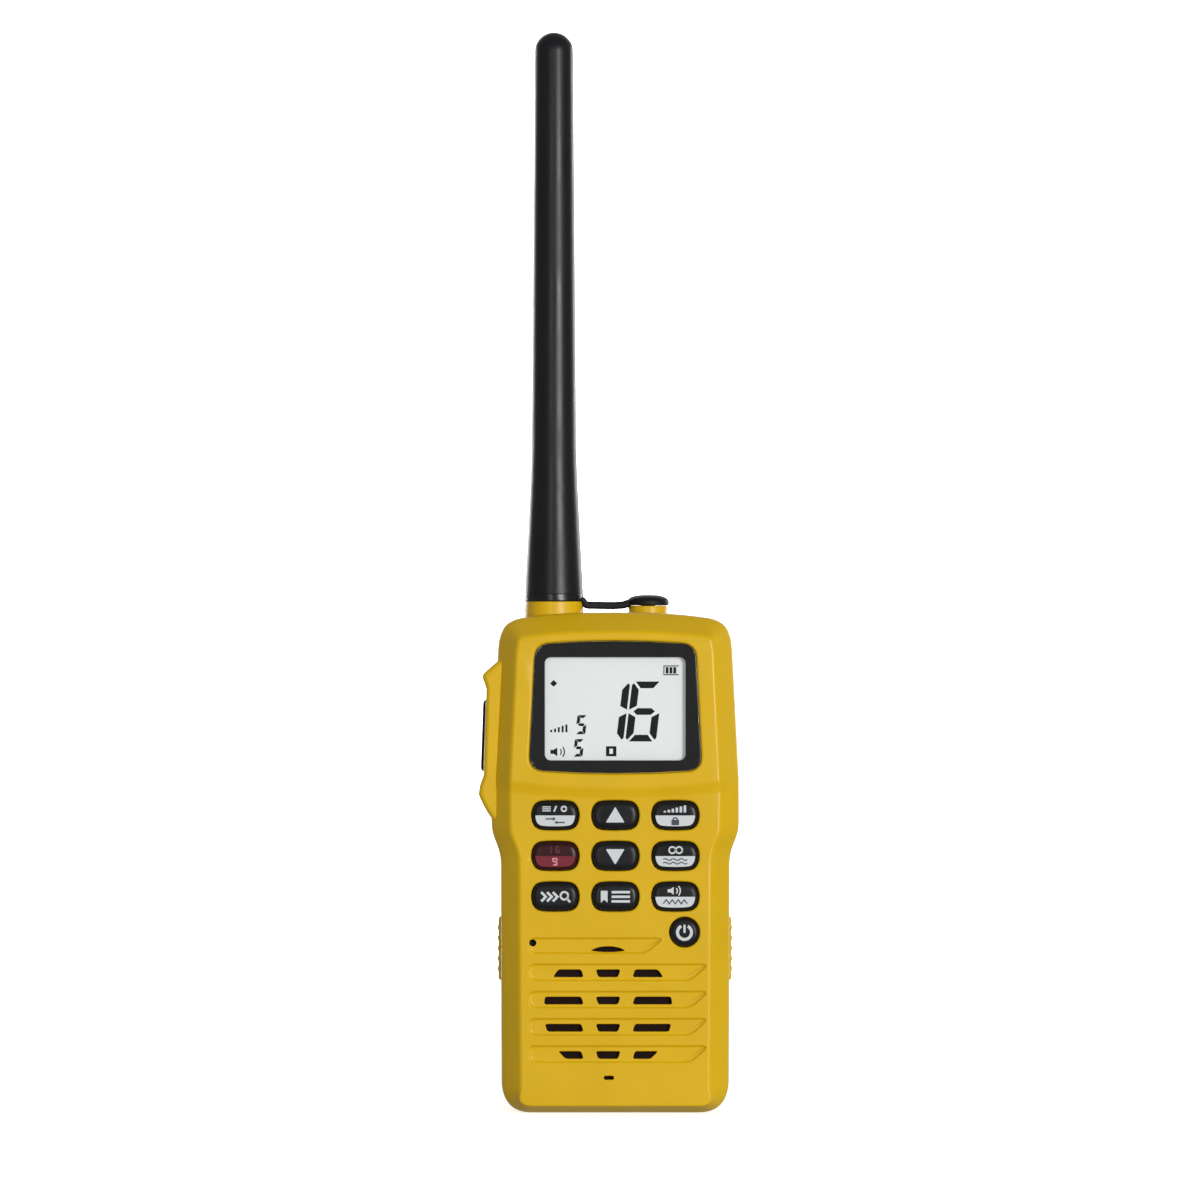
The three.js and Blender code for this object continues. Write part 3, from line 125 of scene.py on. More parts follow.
def round_rect(width, height, r, x=0.0, z=0.0, steps=6):
    w, h = width / 2 - r, height / 2 - r
    return (
        arc(x + w, z - h, r, -90, 0, steps)
        + arc(x + w, z + h, r, 0, 90, steps)
        + arc(x - w, z + h, r, 90, 180, steps)
        + arc(x - w, z - h, r, 180, 270, steps)
    )


def disc(r, x=0.0, z=0.0, steps=32):
    return arc(x, z, r, 0, 360, steps)[:-1]


def inset(loop, amount):
    """A loop moved inwards along its corners' normals. amount is a number or a function of the normal."""
    moved = []
    for i, (x, z) in enumerate(loop):
        before, after = Vector(loop[i - 1]), Vector(loop[(i + 1) % len(loop)])
        here = Vector((x, z))
        into, out = (here - before).normalized(), (after - here).normalized()
        along = (into + out).normalized()
        normal = Vector((along.y, -along.x))
        distance = amount(normal) if callable(amount) else amount
        here -= normal * distance / max(along.dot(out), 0.5)
        moved.append((here.x, here.y))
    return moved


BAND = (80.2, 83.6)  # heights between which the face steps out to the display's plateau
BAND_ROWS = 8


def band_height(row):
    return BAND[0] + (BAND[1] - BAND[0]) * row / BAND_ROWS


def body_outline(steps=14):
    """Front view of the case: straight lower half, waist, wider head and crowned top."""
    foot, top_x, top_z, crown = 7.6, 7.4, 9.0, 1.2
    bend = (WAIST[1] - WAIST[0]) / 2
    right = [(0.0, 0.0), (FOOT_HALF - foot, 0.0)]
    right += curve(right[-1], (FOOT_HALF - 0.4, 0.0), (FOOT_HALF, foot), steps=steps)
    right += [(FOOT_HALF + 0.1, 25.0), (FOOT_HALF + 0.2, WAIST[0])]
    right += curve(
        right[-1], (FOOT_HALF + 0.3, WAIST[0] + bend), (GRIP_HALF, WAIST[1] - bend), (GRIP_HALF, WAIST[1]),
        steps=steps,
    )
    right += [(GRIP_HALF, band_height(row)) for row in range(BAND_ROWS + 1)]
    right += [(GRIP_HALF, WINDOW_LOW.z - 1.2), (HEAD_HALF, HEIGHT - top_z)]
    right += curve(
        right[-1], (HEAD_HALF - 0.3, HEIGHT - top_z * 0.4), (HEAD_HALF - top_x * 0.35, HEIGHT - crown * 1.3),
        (HEAD_HALF - top_x, HEIGHT - crown), steps=steps,
    )
    right += curve(right[-1], (HEAD_HALF / 2, HEIGHT), (0.0, HEIGHT), steps=steps)
    return right + [(-x, z) for x, z in reversed(right[1:-1])]


OUTLINE = body_outline()


def body_ring(side, foot=None):
    """The case's outline moved inwards: by side on the flanks and top, by foot along the bottom."""
    foot = side if foot is None else foot
    return inset(OUTLINE, lambda n: side + (foot - side) * n.y ** 2 if n.y < 0 else side)


def half_at(z):
    """Half the case's width at a height."""
    right = [p for p in OUTLINE if p[0] >= 0]
    for (xa, za), (xb, zb) in zip(right, right[1:]):
        if za <= z <= zb and zb > za:
            return xa + (xb - xa) * (z - za) / (zb - za)
    return FOOT_HALF


def window_loop(steps=8):
    """The display's outline: a bowed trapezium with round corners."""
    low, high = 43.3 / 2, 40.4 / 2  # half its width at the foot and at the top
    foot, top = WINDOW_LOW.z - 0.24, WINDOW_HIGH.z + 0.24
    r, bow = 3.6, 1.2
    right = [(0.0, foot + bow * 0.2)]
    right += curve(right[-1], (low * 0.45, foot + bow * 0.2), (low - r, foot + bow * 0.7), steps=steps)
    right += curve(right[-1], (low, foot + bow), (low - 0.1, foot + bow + r), steps=steps)
    right.append((high + 0.1, top - bow - r))
    right += curve(right[-1], (high, top - bow), (high - r, top - bow * 0.7), steps=steps)
    right += curve(right[-1], (high * 0.45, top - bow * 0.2), (0.0, top - bow * 0.2), steps=steps)
    return right + [(-x, z) for x, z in reversed(right[1:-1])]


# ------------------------ solids

def placed(name, data):
    """A new object in the scene."""
    made = bpy.data.objects.new(name, data)
    bpy.context.scene.collection.objects.link(made)
    return made


def solid(name, verts, faces):
    """A closed mesh object from points in millimetres, with its faces turned outwards."""
    work = bmesh.new()
    corners = [work.verts.new(v) for v in verts]
    for face in faces:
        work.faces.new([corners[i] for i in face])
    bmesh.ops.remove_doubles(work, verts=work.verts, dist=1e-4)
    bmesh.ops.recalc_face_normals(work, faces=work.faces)
    bmesh.ops.triangulate(work, faces=work.faces)
    mesh = bpy.data.meshes.new(name)
    work.to_mesh(mesh)
    work.free()
    return placed(name, mesh)


def stack(rings):
    """Points and faces of rings of equally many points, joined in order and capped at both ends."""
    count = len(rings[0])
    verts = [p for ring in rings for p in ring]
    faces = [tuple(range(count)), tuple(range(len(verts) - count, len(verts)))]
    for r in range(len(rings) - 1):
        for i in range(count):
            a, b = r * count + i, r * count + (i + 1) % count
            faces.append((a, b, b + count, a + count))
    return verts, faces


def along_y(loop, y):
    return [(x, y, z) for x, z in loop]


def prism(name, loop, profile):
    """A loop carried through depth. profile lists (y, inset) from front to back."""
    return solid(name, *stack([along_y(inset(loop, by), y) for y, by in profile]))


def pillow(y0, y1, front=0.0, back=0.0, steps=4):
    """A profile for prism() whose front and back edges are rounded to the given radii."""
    def corner(y, r, sign):
        turns = [math.radians(90 * i / steps) for i in range(steps + 1)]
        return [(y + sign * r * (1 - math.sin(a)), r * (1 - math.cos(a))) for a in turns]
    first = corner(y0, front, 1)[::-1] if front else [(y0, 0.0)]
    last = corner(y1, back, -1) if back else [(y1, 0.0)]
    return first + last


def lathe(name, profile, x=0.0, y=0.0, z=0.0, steps=48, axis="z"):
    """A profile of (radius, along) turned about an upright axis, or about one through depth."""
    def place(r, h, a):
        if axis == "z":
            return (x + r * math.cos(a), y + r * math.sin(a), z + h)
        return (x + r * math.cos(a), y + h, z + r * math.sin(a))
    turns = [2 * math.pi * i / steps for i in range(steps)]
    closed = profile[0] == profile[-1]
    rings = [[place(max(r, 1e-4), h, a) for a in turns] for r, h in profile]
    verts, faces = stack(rings)
    return solid(name, verts, faces[2:] if closed else faces)


def applied(thing):
    """Makes an object's modifiers part of its mesh."""
    graph = bpy.context.evaluated_depsgraph_get()
    mesh = bpy.data.meshes.new_from_object(thing.evaluated_get(graph))
    thing.modifiers.clear()
    thing.data = mesh
    return thing


def joined(things):
    """Several objects as one, which keeps the first one's name."""
    work = bmesh.new()
    for thing in things:
        work.from_mesh(thing.data)
    first = things[0]
    mesh = bpy.data.meshes.new(first.name)
    work.to_mesh(mesh)
    work.free()
    first.data = mesh
    for thing in things[1:]:
        bpy.data.objects.remove(thing)
    return first


def boolean(target, tools, operation):
    tool = joined(tools)
    change = target.modifiers.new(operation, "BOOLEAN")
    change.operation, change.object, change.solver = operation, tool, "MANIFOLD"
    applied(target)
    bpy.data.objects.remove(tool)
    return target


def cut(target, *tools):
    return boolean(target, list(tools), "DIFFERENCE")


def join(target, *tools):
    return boolean(target, list(tools), "UNION")


def piece(thing, material, body, nodes=(), angle=32):
    """Finishes an object: smooth faces with crisp edges, its material, its body and its CAD nodes."""
    work = bmesh.new()
    work.from_mesh(thing.data)
    bmesh.ops.dissolve_degenerate(work, dist=1e-4, edges=work.edges)
    for face in work.faces:
        face.smooth = True
    for edge in work.edges:
        edge.smooth = len(edge.link_faces) == 2 and edge.calc_face_angle(0) < math.radians(angle)
    bmesh.ops.scale(work, vec=(MM, MM, MM), verts=work.verts)
    work.to_mesh(thing.data)
    work.free()
    thing.data.materials.clear()
    thing.data.materials.append(material)
    weighted = thing.modifiers.new("normals", "WEIGHTED_NORMAL")
    weighted.keep_sharp, weighted.weight = True, 50
    if body:
        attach(thing, body)
    if nodes:
        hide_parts(*nodes)
    return thing


# ------------------------ materials

def principled(tree):
    return next(n for n in tree.nodes if n.type == "BSDF_PRINCIPLED")


def shader(name):
    material = bpy.data.materials.new(name)
    material.use_nodes = True
    tree = material.node_tree
    return material, tree, principled(tree)


def noise(tree, scale, detail=2.0, stretch=None):
    """A noise in object space. stretch scales the three axes, for drawn or brushed marks."""
    place = tree.nodes.new("ShaderNodeTexCoord")
    texture = tree.nodes.new("ShaderNodeTexNoise")
    texture.inputs["Scale"].default_value = scale
    texture.inputs["Detail"].default_value = detail
    source = place.outputs["Object"]
    if stretch:
        mapping = tree.nodes.new("ShaderNodeMapping")
        mapping.inputs["Scale"].default_value = stretch
        tree.links.new(source, mapping.inputs["Vector"])
        source = mapping.outputs["Vector"]
    tree.links.new(source, texture.inputs["Vector"])
    return texture.outputs["Fac"]


def ranged(tree, value, low, high, start=0.3, end=0.7):
    scaled = tree.nodes.new("ShaderNodeMapRange")
    for socket, number in zip(("From Min", "From Max", "To Min", "To Max"), (start, end, low, high)):
        scaled.inputs[socket].default_value = number
    tree.links.new(value, scaled.inputs["Value"])
    return scaled.outputs["Result"]


def tinted(tree, value, dark, light):
    ramp = tree.nodes.new("ShaderNodeValToRGB")
    ramp.color_ramp.elements[0].position, ramp.color_ramp.elements[1].position = 0.3, 0.7
    ramp.color_ramp.elements[0].color = (*dark, 1)
    ramp.color_ramp.elements[1].color = (*light, 1)
    tree.links.new(value, ramp.inputs["Fac"])
    return ramp.outputs["Color"]


def bumped(tree, surface, value, strength, distance=0.0001):
    bump = tree.nodes.new("ShaderNodeBump")
    bump.inputs["Strength"].default_value = strength
    bump.inputs["Distance"].default_value = distance
    tree.links.new(value, bump.inputs["Height"])
    tree.links.new(bump.outputs["Normal"], surface.inputs["Normal"])


def shade(colour, factor):
    return tuple(min(c * factor, 1.0) for c in colour)


def moulded(name, colour, rough, grain=2500, strength=0.12, spread=0.05, vary=0.06, coat=0.0, metallic=0.0,
            stretch=None, patch=60, shine=0.5):
    """Moulded or metal surface: uneven colour and gloss in broad patches, and a fine grain."""
    material, tree, surface = shader(name)
    broad = noise(tree, patch, 3.0)
    tree.links.new(
        tinted(tree, broad, shade(colour, 1 - spread), shade(colour, 1 + spread)), surface.inputs["Base Color"]
    )
    fine = noise(tree, grain, 3.0, stretch)
    tree.links.new(
        ranged(tree, noise(tree, patch * 2.3, 4.0), rough - vary, rough + vary), surface.inputs["Roughness"]
    )
    bumped(tree, surface, fine, strength)
    surface.inputs["Metallic"].default_value = metallic
    surface.inputs["Coat Weight"].default_value = coat
    surface.inputs["Coat Roughness"].default_value = 0.15
    surface.inputs["Specular IOR Level"].default_value = shine
    return material


YELLOW = (0.74, 0.455, 0.002)
case_yellow = moulded("case_yellow", YELLOW, 0.36, 3200, 0.10, 0.035, coat=0.06, shine=0.3)
pack_yellow = moulded("pack_yellow", YELLOW, 0.42, 1500, 0.22, 0.035, shine=0.3)
key_black = moulded("key_black", (0.007, 0.007, 0.009), 0.34, 4000, 0.08, 0.2, 0.08, shine=0.22)
key_red = moulded("key_red", (0.032, 0.003, 0.005), 0.34, 4000, 0.08, 0.2, 0.08, shine=0.22)
legend_white = moulded("legend_white", (0.66, 0.69, 0.70), 0.5, spread=0.03, shine=0.2)
legend_dark = moulded("legend_dark", (0.035, 0.045, 0.075), 0.5, spread=0.1)
legend_rose = moulded("legend_rose", (0.20, 0.022, 0.035), 0.45, spread=0.08, shine=0.2)
legend_pink = moulded("legend_pink", (0.80, 0.30, 0.34), 0.45, spread=0.05)
legend_wine = moulded("legend_wine", (0.17, 0.038, 0.040), 0.45, spread=0.05, shine=0.2)
rubber_black = moulded("rubber_black", (0.005, 0.005, 0.006), 0.5, 2200, 0.16, 0.15, shine=0.25)
gloss_black = moulded("gloss_black", (0.005, 0.005, 0.005), 0.25, 2200, 0.1, 0.15, shine=0.4)
aerial_black = moulded("aerial_black", (0.006, 0.006, 0.009), 0.36, 1600, 0.10, 0.15, patch=30, shine=0.32)
plastic_black = moulded("plastic_black", (0.014, 0.014, 0.015), 0.42, 1400, 0.22, 0.12)
mask_black = moulded("mask_black", (0.003, 0.003, 0.004), 0.6, spread=0.1, shine=0.08)
foam_black = moulded("foam_black", (0.010, 0.010, 0.010), 0.85, 1500, 0.5, 0.3)
label_grey = moulded("label_grey", (0.035, 0.036, 0.04), 0.35, 900, 0.05, 0.1)
label_print = moulded("label_print", (0.50, 0.51, 0.52), 0.4, 900, 0.05, 0.05)
lcd_grey_painted_glow = moulded("lcd_grey_painted_glow", (0.92, 0.93, 0.925), 0.4, 5000, 0.03, 0.015, shine=0.2)
lcd_ink = moulded("lcd_ink", (0.003, 0.003, 0.004), 0.5, spread=0.2, shine=0.05)
guide_white = moulded("guide_white", (0.8, 0.8, 0.77), 0.4, spread=0.04)
board_green = moulded("board_green", (0.02, 0.11, 0.045), 0.45, 900, 0.2, 0.2)
cast_metal = moulded("cast_metal", (0.55, 0.56, 0.58), 0.45, 700, 0.3, metallic=1.0)
tin_metal = moulded("tin_metal", (0.66, 0.66, 0.67), 0.28, 400, 0.1, metallic=1.0, stretch=(1, 1, 12))
steel_metal = moulded("steel_metal", (0.60, 0.61, 0.63), 0.26, 600, 0.15, metallic=1.0, stretch=(1, 9, 1))
brass_metal = moulded("brass_metal", (0.72, 0.50, 0.18), 0.28, 600, 0.15, metallic=1.0, stretch=(1, 1, 9))
gold_metal = moulded("gold_metal", (0.86, 0.62, 0.24), 0.2, 900, 0.1, metallic=1.0)
membrane_brown = moulded("membrane_brown", (0.012, 0.004, 0.003), 0.8, 1500, 0.4, 0.3, shine=0.15)
cone_black = moulded("cone_black", (0.03, 0.03, 0.032), 0.8, 900, 0.6, 0.3)
cell_blue = moulded("cell_blue", (0.05, 0.17, 0.38), 0.35, 900, 0.1, 0.1)


def clear_pane():
    """Clear window: seen straight through, with a thin mirror coat."""
    material, tree, surface = shader("clear_pane")
    tree.nodes.remove(surface)
    through = tree.nodes.new("ShaderNodeBsdfTransparent")
    through.inputs["Color"].default_value = (0.97, 0.98, 0.98, 1)
    gloss = tree.nodes.new("ShaderNodeBsdfGlossy")
    tree.links.new(ranged(tree, noise(tree, 90, 2.0), 0.03, 0.08), gloss.inputs["Roughness"])
    blend = tree.nodes.new("ShaderNodeMixShader")
    blend.inputs["Fac"].default_value = 0.035
    tree.links.new(through.outputs["BSDF"], blend.inputs[1])
    tree.links.new(gloss.outputs["BSDF"], blend.inputs[2])
    output = next(n for n in tree.nodes if n.type == "OUTPUT_MATERIAL")
    tree.links.new(blend.outputs["Shader"], output.inputs["Surface"])
    return material


# Gives a material light of its own. Used for the evenly bright paper and for a painted glow on the display
# panel.
def glowing(material, strength):
    surface = principled(material.node_tree)
    surface.inputs["Emission Color"].default_value = (1, 1, 1, 1)
    surface.inputs["Emission Strength"].default_value = strength
    return material


window_clear = clear_pane()
# Painted light: the display panel is given a faint glow of its own. It makes up for the shade of its recess and
# the light the pane takes.
glowing(lcd_grey_painted_glow, 0.09)

SCREWS = tuple(f"case_screw_{i}" for i in range(1, 5))
CELLS = ("battery_cell_1", "battery_cell_2")
TABS = ("release_left", "release_right")
CARRIED = {  # materials, and the CAD nodes of each that keep their shape
    case_yellow: ("rear_case",),
    pack_yellow: ("battery_shell", *TABS),
    plastic_black: ("belt_clip", "battery_lid", "pack_terminal", "jack_socket", "talk_switch"),
    key_black: ("keypad_mat",),
    rubber_black: ("tether_ring", "aerial_seal", "mic_boot"),
    foam_black: ("case_seal", "mic_capsule"),
    mask_black: ("window_gasket",),
    lcd_grey_painted_glow: ("lcd_panel",),
    guide_white: ("lcd_light_guide", "board_connector"),
    board_green: ("front_board", "rf_board"),
    cast_metal: ("chassis", "speaker_magnet"),
    tin_metal: ("shield_can",),
    steel_metal: ("dome_sheet", "speaker_frame", "clip_pin", "clip_spring", *SCREWS),
    brass_metal: ("aerial_socket", "aerial_stud", "aerial_coil"),
    gold_metal: ("aerial_feed", "battery_terminal", "charge_contact_1", "charge_contact_2"),
    membrane_brown: ("speaker_membrane",),
    cone_black: ("speaker_cone",),
    cell_blue: CELLS,
}
SOFTENED = {  # radii, and the carried nodes whose edges are rounded by each
    0.1: (*SCREWS, "board_connector"),
    0.15: ("clip_pin",),
    0.2: ("talk_switch", "jack_socket", "chassis", "shield_can", "pack_terminal"),
    0.3: ("battery_lid", *TABS),
    0.4: ("belt_clip",),
    0.45: ("rear_case",),
    0.5: ("battery_shell",),
    0.6: CELLS,
}
for material, nodes in CARRIED.items():
    for node in nodes:
        holder = frame["nodes"][node]
        if not holder.material_slots:
            holder.data.materials.append(material)
        for place in holder.material_slots:
            place.link = "OBJECT"
            place.material = material
for radius, nodes in SOFTENED.items():
    for node in nodes:
        holder = frame["nodes"][node]
        weld = holder.modifiers.new("weld", "WELD")
        weld.merge_threshold = 1e-6
        flat = holder.modifiers.new("flat", "DECIMATE")
        flat.decimate_type, flat.angle_limit = "DISSOLVE", math.radians(1)
        edge = holder.modifiers.new("edges", "BEVEL")
        edge.width, edge.segments, edge.limit_method = radius * MM, 3, "ANGLE"
        edge.angle_limit = math.radians(25)
        weighted = holder.modifiers.new("normals", "WEIGHTED_NORMAL")
        weighted.keep_sharp = True


# ------------------------ front half of the case

# depth behind the face and widening, from the mouth inwards
SOFT_EDGE = [(-0.45, 0.5), (-0.02, 0.42), (0.06, 0.26), (0.16, 0.13), (0.28, 0.04), (0.45, 0.0)]


def opening(loop, y, through, flare=1.0):
    """A cutter for an opening in a face at depth y, whose mouth is rounded."""
    profile = [(y + deep * flare, -by * flare) for deep, by in SOFT_EDGE] + [(y + through, 0.0)]
    return prism("opening", loop, profile)


def lift(z):
    """How far the face stands out at a height."""
    t = min(max((z - BAND[0]) / (BAND[1] - BAND[0]), 0.0), 1.0)
    return HOOD * t * t * (3 - 2 * t)


def front_skin():
    """The outside of the front half: flank, sloping edge, keypad face, soft step and display plateau."""
    slope = [  # y, inset at the flanks, inset at the foot
        (PART - 0.02, 0.32, 0.32), (PART - 0.22, 0.1, 0.1), (PART - 0.5, 0.0, 0.0),
        (FACE + 7.0, 0.0, 0.0), (FACE + 6.2, 0.03, 0.02), (FACE + 5.6, 0.16, 0.08), (FACE + 5.1, 0.42, 0.2),
        (FACE + 3.8, 1.52, 0.62), (FACE + 2.2, 2.95, 1.2), (FACE + 0.75, 4.22, 1.75),
        (FACE + 0.36, 4.62, 1.95), (FACE + 0.10, 5.02, 2.15), (FACE, 5.5, 2.5),
    ]
    start = FACE + 5.1  # the plateau grows out of the sloping edge from here
    rings = []
    for y, side, foot in slope:
        share = min(max((start - y) / (start - FACE), 0.0), 1.0)
        rings.append([(x, y - lift(z) * share, z) for x, z in body_ring(side, foot)])
    verts, faces = stack(rings)
    faces = [faces[0]] + faces[2:]
    base = len(verts) - len(OUTLINE)
    rows = [[i for i, (x, z) in enumerate(OUTLINE) if x > 0 and abs(z - band_height(r)) < 1e-6][0]
            for r in range(BAND_ROWS + 1)]
    mirror = [len(OUTLINE) - i for i in rows]
    columns, bow = 24, 1.6  # the step across the face sags by this much in the middle
    grid = []
    for r in range(BAND_ROWS + 1):
        edge = verts[base + rows[r]]
        line = [base + rows[r]]
        for c in range(1, columns):
            t = 1 - 2 * c / columns
            line.append(len(verts))
            verts.append((edge[0] * t, edge[1], edge[2] - bow * (1 - t * t)))
        grid.append(line + [base + mirror[r]])
    for below, above in zip(grid, grid[1:]):
        for c in range(columns):
            faces.append((below[c], below[c + 1], above[c + 1], above[c]))
    count = len(OUTLINE)
    lower = [base + i % count for i in range(mirror[0], count + rows[0] + 1)]
    upper = [base + i for i in range(rows[-1], mirror[-1] + 1)]
    faces.append(tuple(lower + grid[0][1:-1]))
    faces.append(tuple(upper + grid[-1][-2:0:-1]))
    return solid("front_shell", verts, faces)


def cavity(y0, y1, y_front, side, foot):
    """A cutter for the case's inside, narrower towards the face."""
    return solid("cavity", *stack([
        along_y(body_ring(WALL), y1),
        along_y(body_ring(WALL), y0),
        along_y(body_ring(side, foot), y_front),
    ]))


TALK_AXIS = Vector(joint("talk_key_press")["axis"])
BOSS_FOOT, BOSS_TOP = 73.7, 113.1  # heights where the talk boss leaves the case's outline
TALK_LOW = (-half_at(BOSS_FOOT) - 2.4, 79.1)  # ends of its flank, as (x, z)
TALK_HIGH = (-half_at(BOSS_TOP) - 2.9, 109.7)
TALK_DIP = 0.45  # how far the flank lies inside the line between the boss's ends
TALK_FRONT, TALK_BACK = FACE + 4.0, PART - 1.5
TALK_MIDDLE = Vector((
    (TALK_LOW[0] + TALK_HIGH[0]) / 2, (TALK_FRONT + TALK_BACK) / 2, (TALK_LOW[1] + TALK_HIGH[1]) / 2,
))
TALK_LEAN = Matrix.Rotation(-math.atan2(TALK_AXIS.z, TALK_AXIS.x), 4, "Y")
TALK_FRAME = Matrix.Translation(TALK_MIDDLE) @ TALK_LEAN


def on_talk_flank(thing):
    """Carries a piece drawn about the origin, with its outside at x = 0, to the talk boss's flank."""
    thing.data.transform(TALK_FRAME)
    return thing


def flank_plate(name, length, width, r, profile):
    """A plate with round corners on the flank. profile lists (x, inset) from outside to inside."""
    loop = round_rect(width, length, r)
    rings = [[(x, y, z) for y, z in inset(loop, by)] for x, by in profile]
    return solid(name, *stack(rings))


def talk_boss():
    """The boss round the talk key: its two ends stand out a little further than its flank."""
    inner = -half_at(100) + 5.5
    low, high = TALK_LOW[0] - 0.75, TALK_HIGH[0] - 0.85
    loop = [(inner, 73.1), (-half_at(BOSS_FOOT) + 0.3, 73.5)]
    loop += curve((-half_at(BOSS_FOOT) - 0.2, 73.9), (low + 0.15, 79.0), (low, 79.9), steps=5)
    loop += curve((low, 80.3), (low + 0.35, 82.5), (TALK_LOW[0] + TALK_DIP, 84.5), steps=5)
    loop += curve((TALK_HIGH[0] + TALK_DIP, 105.5), (high + 0.6, 107.6), (high, 109.2), steps=5)
    loop += curve((high, 109.5), (high + 0.15, 109.9), (high + 0.9, 110.6), steps=4)
    loop += [(-half_at(BOSS_TOP) + 0.3, 113.4), (inner, 113.4)]
    loop.reverse()
    return prism("talk_boss", loop, pillow(TALK_FRONT, TALK_BACK, 1.3, 1.0, steps=5))


GROOVE = 0.6  # depth of the louvres behind the slots
SLOT_ROWS, LOWEST_SLOT, SLOT_PITCH = 4, SPEAKER.z - 10.44, 6.81


def slot_row(row):
    """Height of a row of the grille's slots."""
    return LOWEST_SLOT + SLOT_PITCH * row


def grille_slots():
    """Cutters of the slots: bars clipped to a circle and parted by two ribs that spread upwards."""
    radius, tall, rib, half, lean = 16.1, 1.9, 3.7, 3.05, 0.6
    middle_z = SPEAKER.z + 0.7
    cutters = []
    for row in range(SLOT_ROWS):
        z = slot_row(row)
        low, high = z - tall / 2, z + tall / 2
        reach = [math.sqrt(radius ** 2 - (h - middle_z) ** 2) for h in (low, high)]
        loops = [[(lean - half, low), (half - lean, low), (half, high), (-half, high)]]
        outer = half + rib
        loops.append([(outer - lean, low), (reach[0], low), (reach[1], high), (outer, high)])
        loops.append([(-x, h) for x, h in reversed(loops[1])])
        for loop in loops:
            loop = soft_corners([(x + SPEAKER.x, h) for x, h in loop], 0.6)
            cutters.append(opening(loop, FACE + GROOVE, 3.0, 0.45))
    return cutters


def soft_corners(loop, r, steps=4):
    """A polygon with each corner rounded over a length r."""
    made = []
    for i, here in enumerate(loop):
        here, before, after = Vector(here), Vector(loop[i - 1]), Vector(loop[(i + 1) % len(loop)])
        first = here + (before - here).normalized() * r
        last = here + (after - here).normalized() * r
        made += [tuple(first)] + curve(tuple(first), tuple(here), tuple(last), steps=steps)
    return made


def lens_loop():
    """The lens-shaped slot above the grille."""
    x, z, half = SPEAKER.x, SPEAKER.z + 15.65, 4.2
    low = curve((x - half, z), (x, z - 0.7), (x + half, z), steps=10)
    high = curve(
        (x + half, z), (x + half * 0.6, z + 1.45), (x - half * 0.6, z + 1.45), (x - half, z), steps=12
    )
    return low + high


def grooves():
    """Cutters of the shallow louvres behind the slots: long troughs with a slanting right-hand end."""
    cutters = []
    profile = [
        (-0.4, -0.5), (-0.02, -0.46), (0.06, -0.26), (0.2, -0.1), (0.4, 0.02), (0.53, 0.14), (GROOVE, 0.36),
    ]
    slant = 4.4
    for row in range(SLOT_ROWS + 1):
        z = slot_row(row)
        right, rise = (23.2, 2.2) if row < SLOT_ROWS else (12.0, 1.9)
        top, foot = z + rise, z - 1.7
        loop = [(-21.2, foot), (right - slant, foot), (right, top), (-21.6, top)]
        loop = soft_corners(loop, 1.6, 8)
        cutters.append(prism("groove", loop, [(FACE + y, by) for y, by in profile]))
    return cutters


CAP_PLUG = 2.9  # length of the cap's plug, which sits in the jack's boss


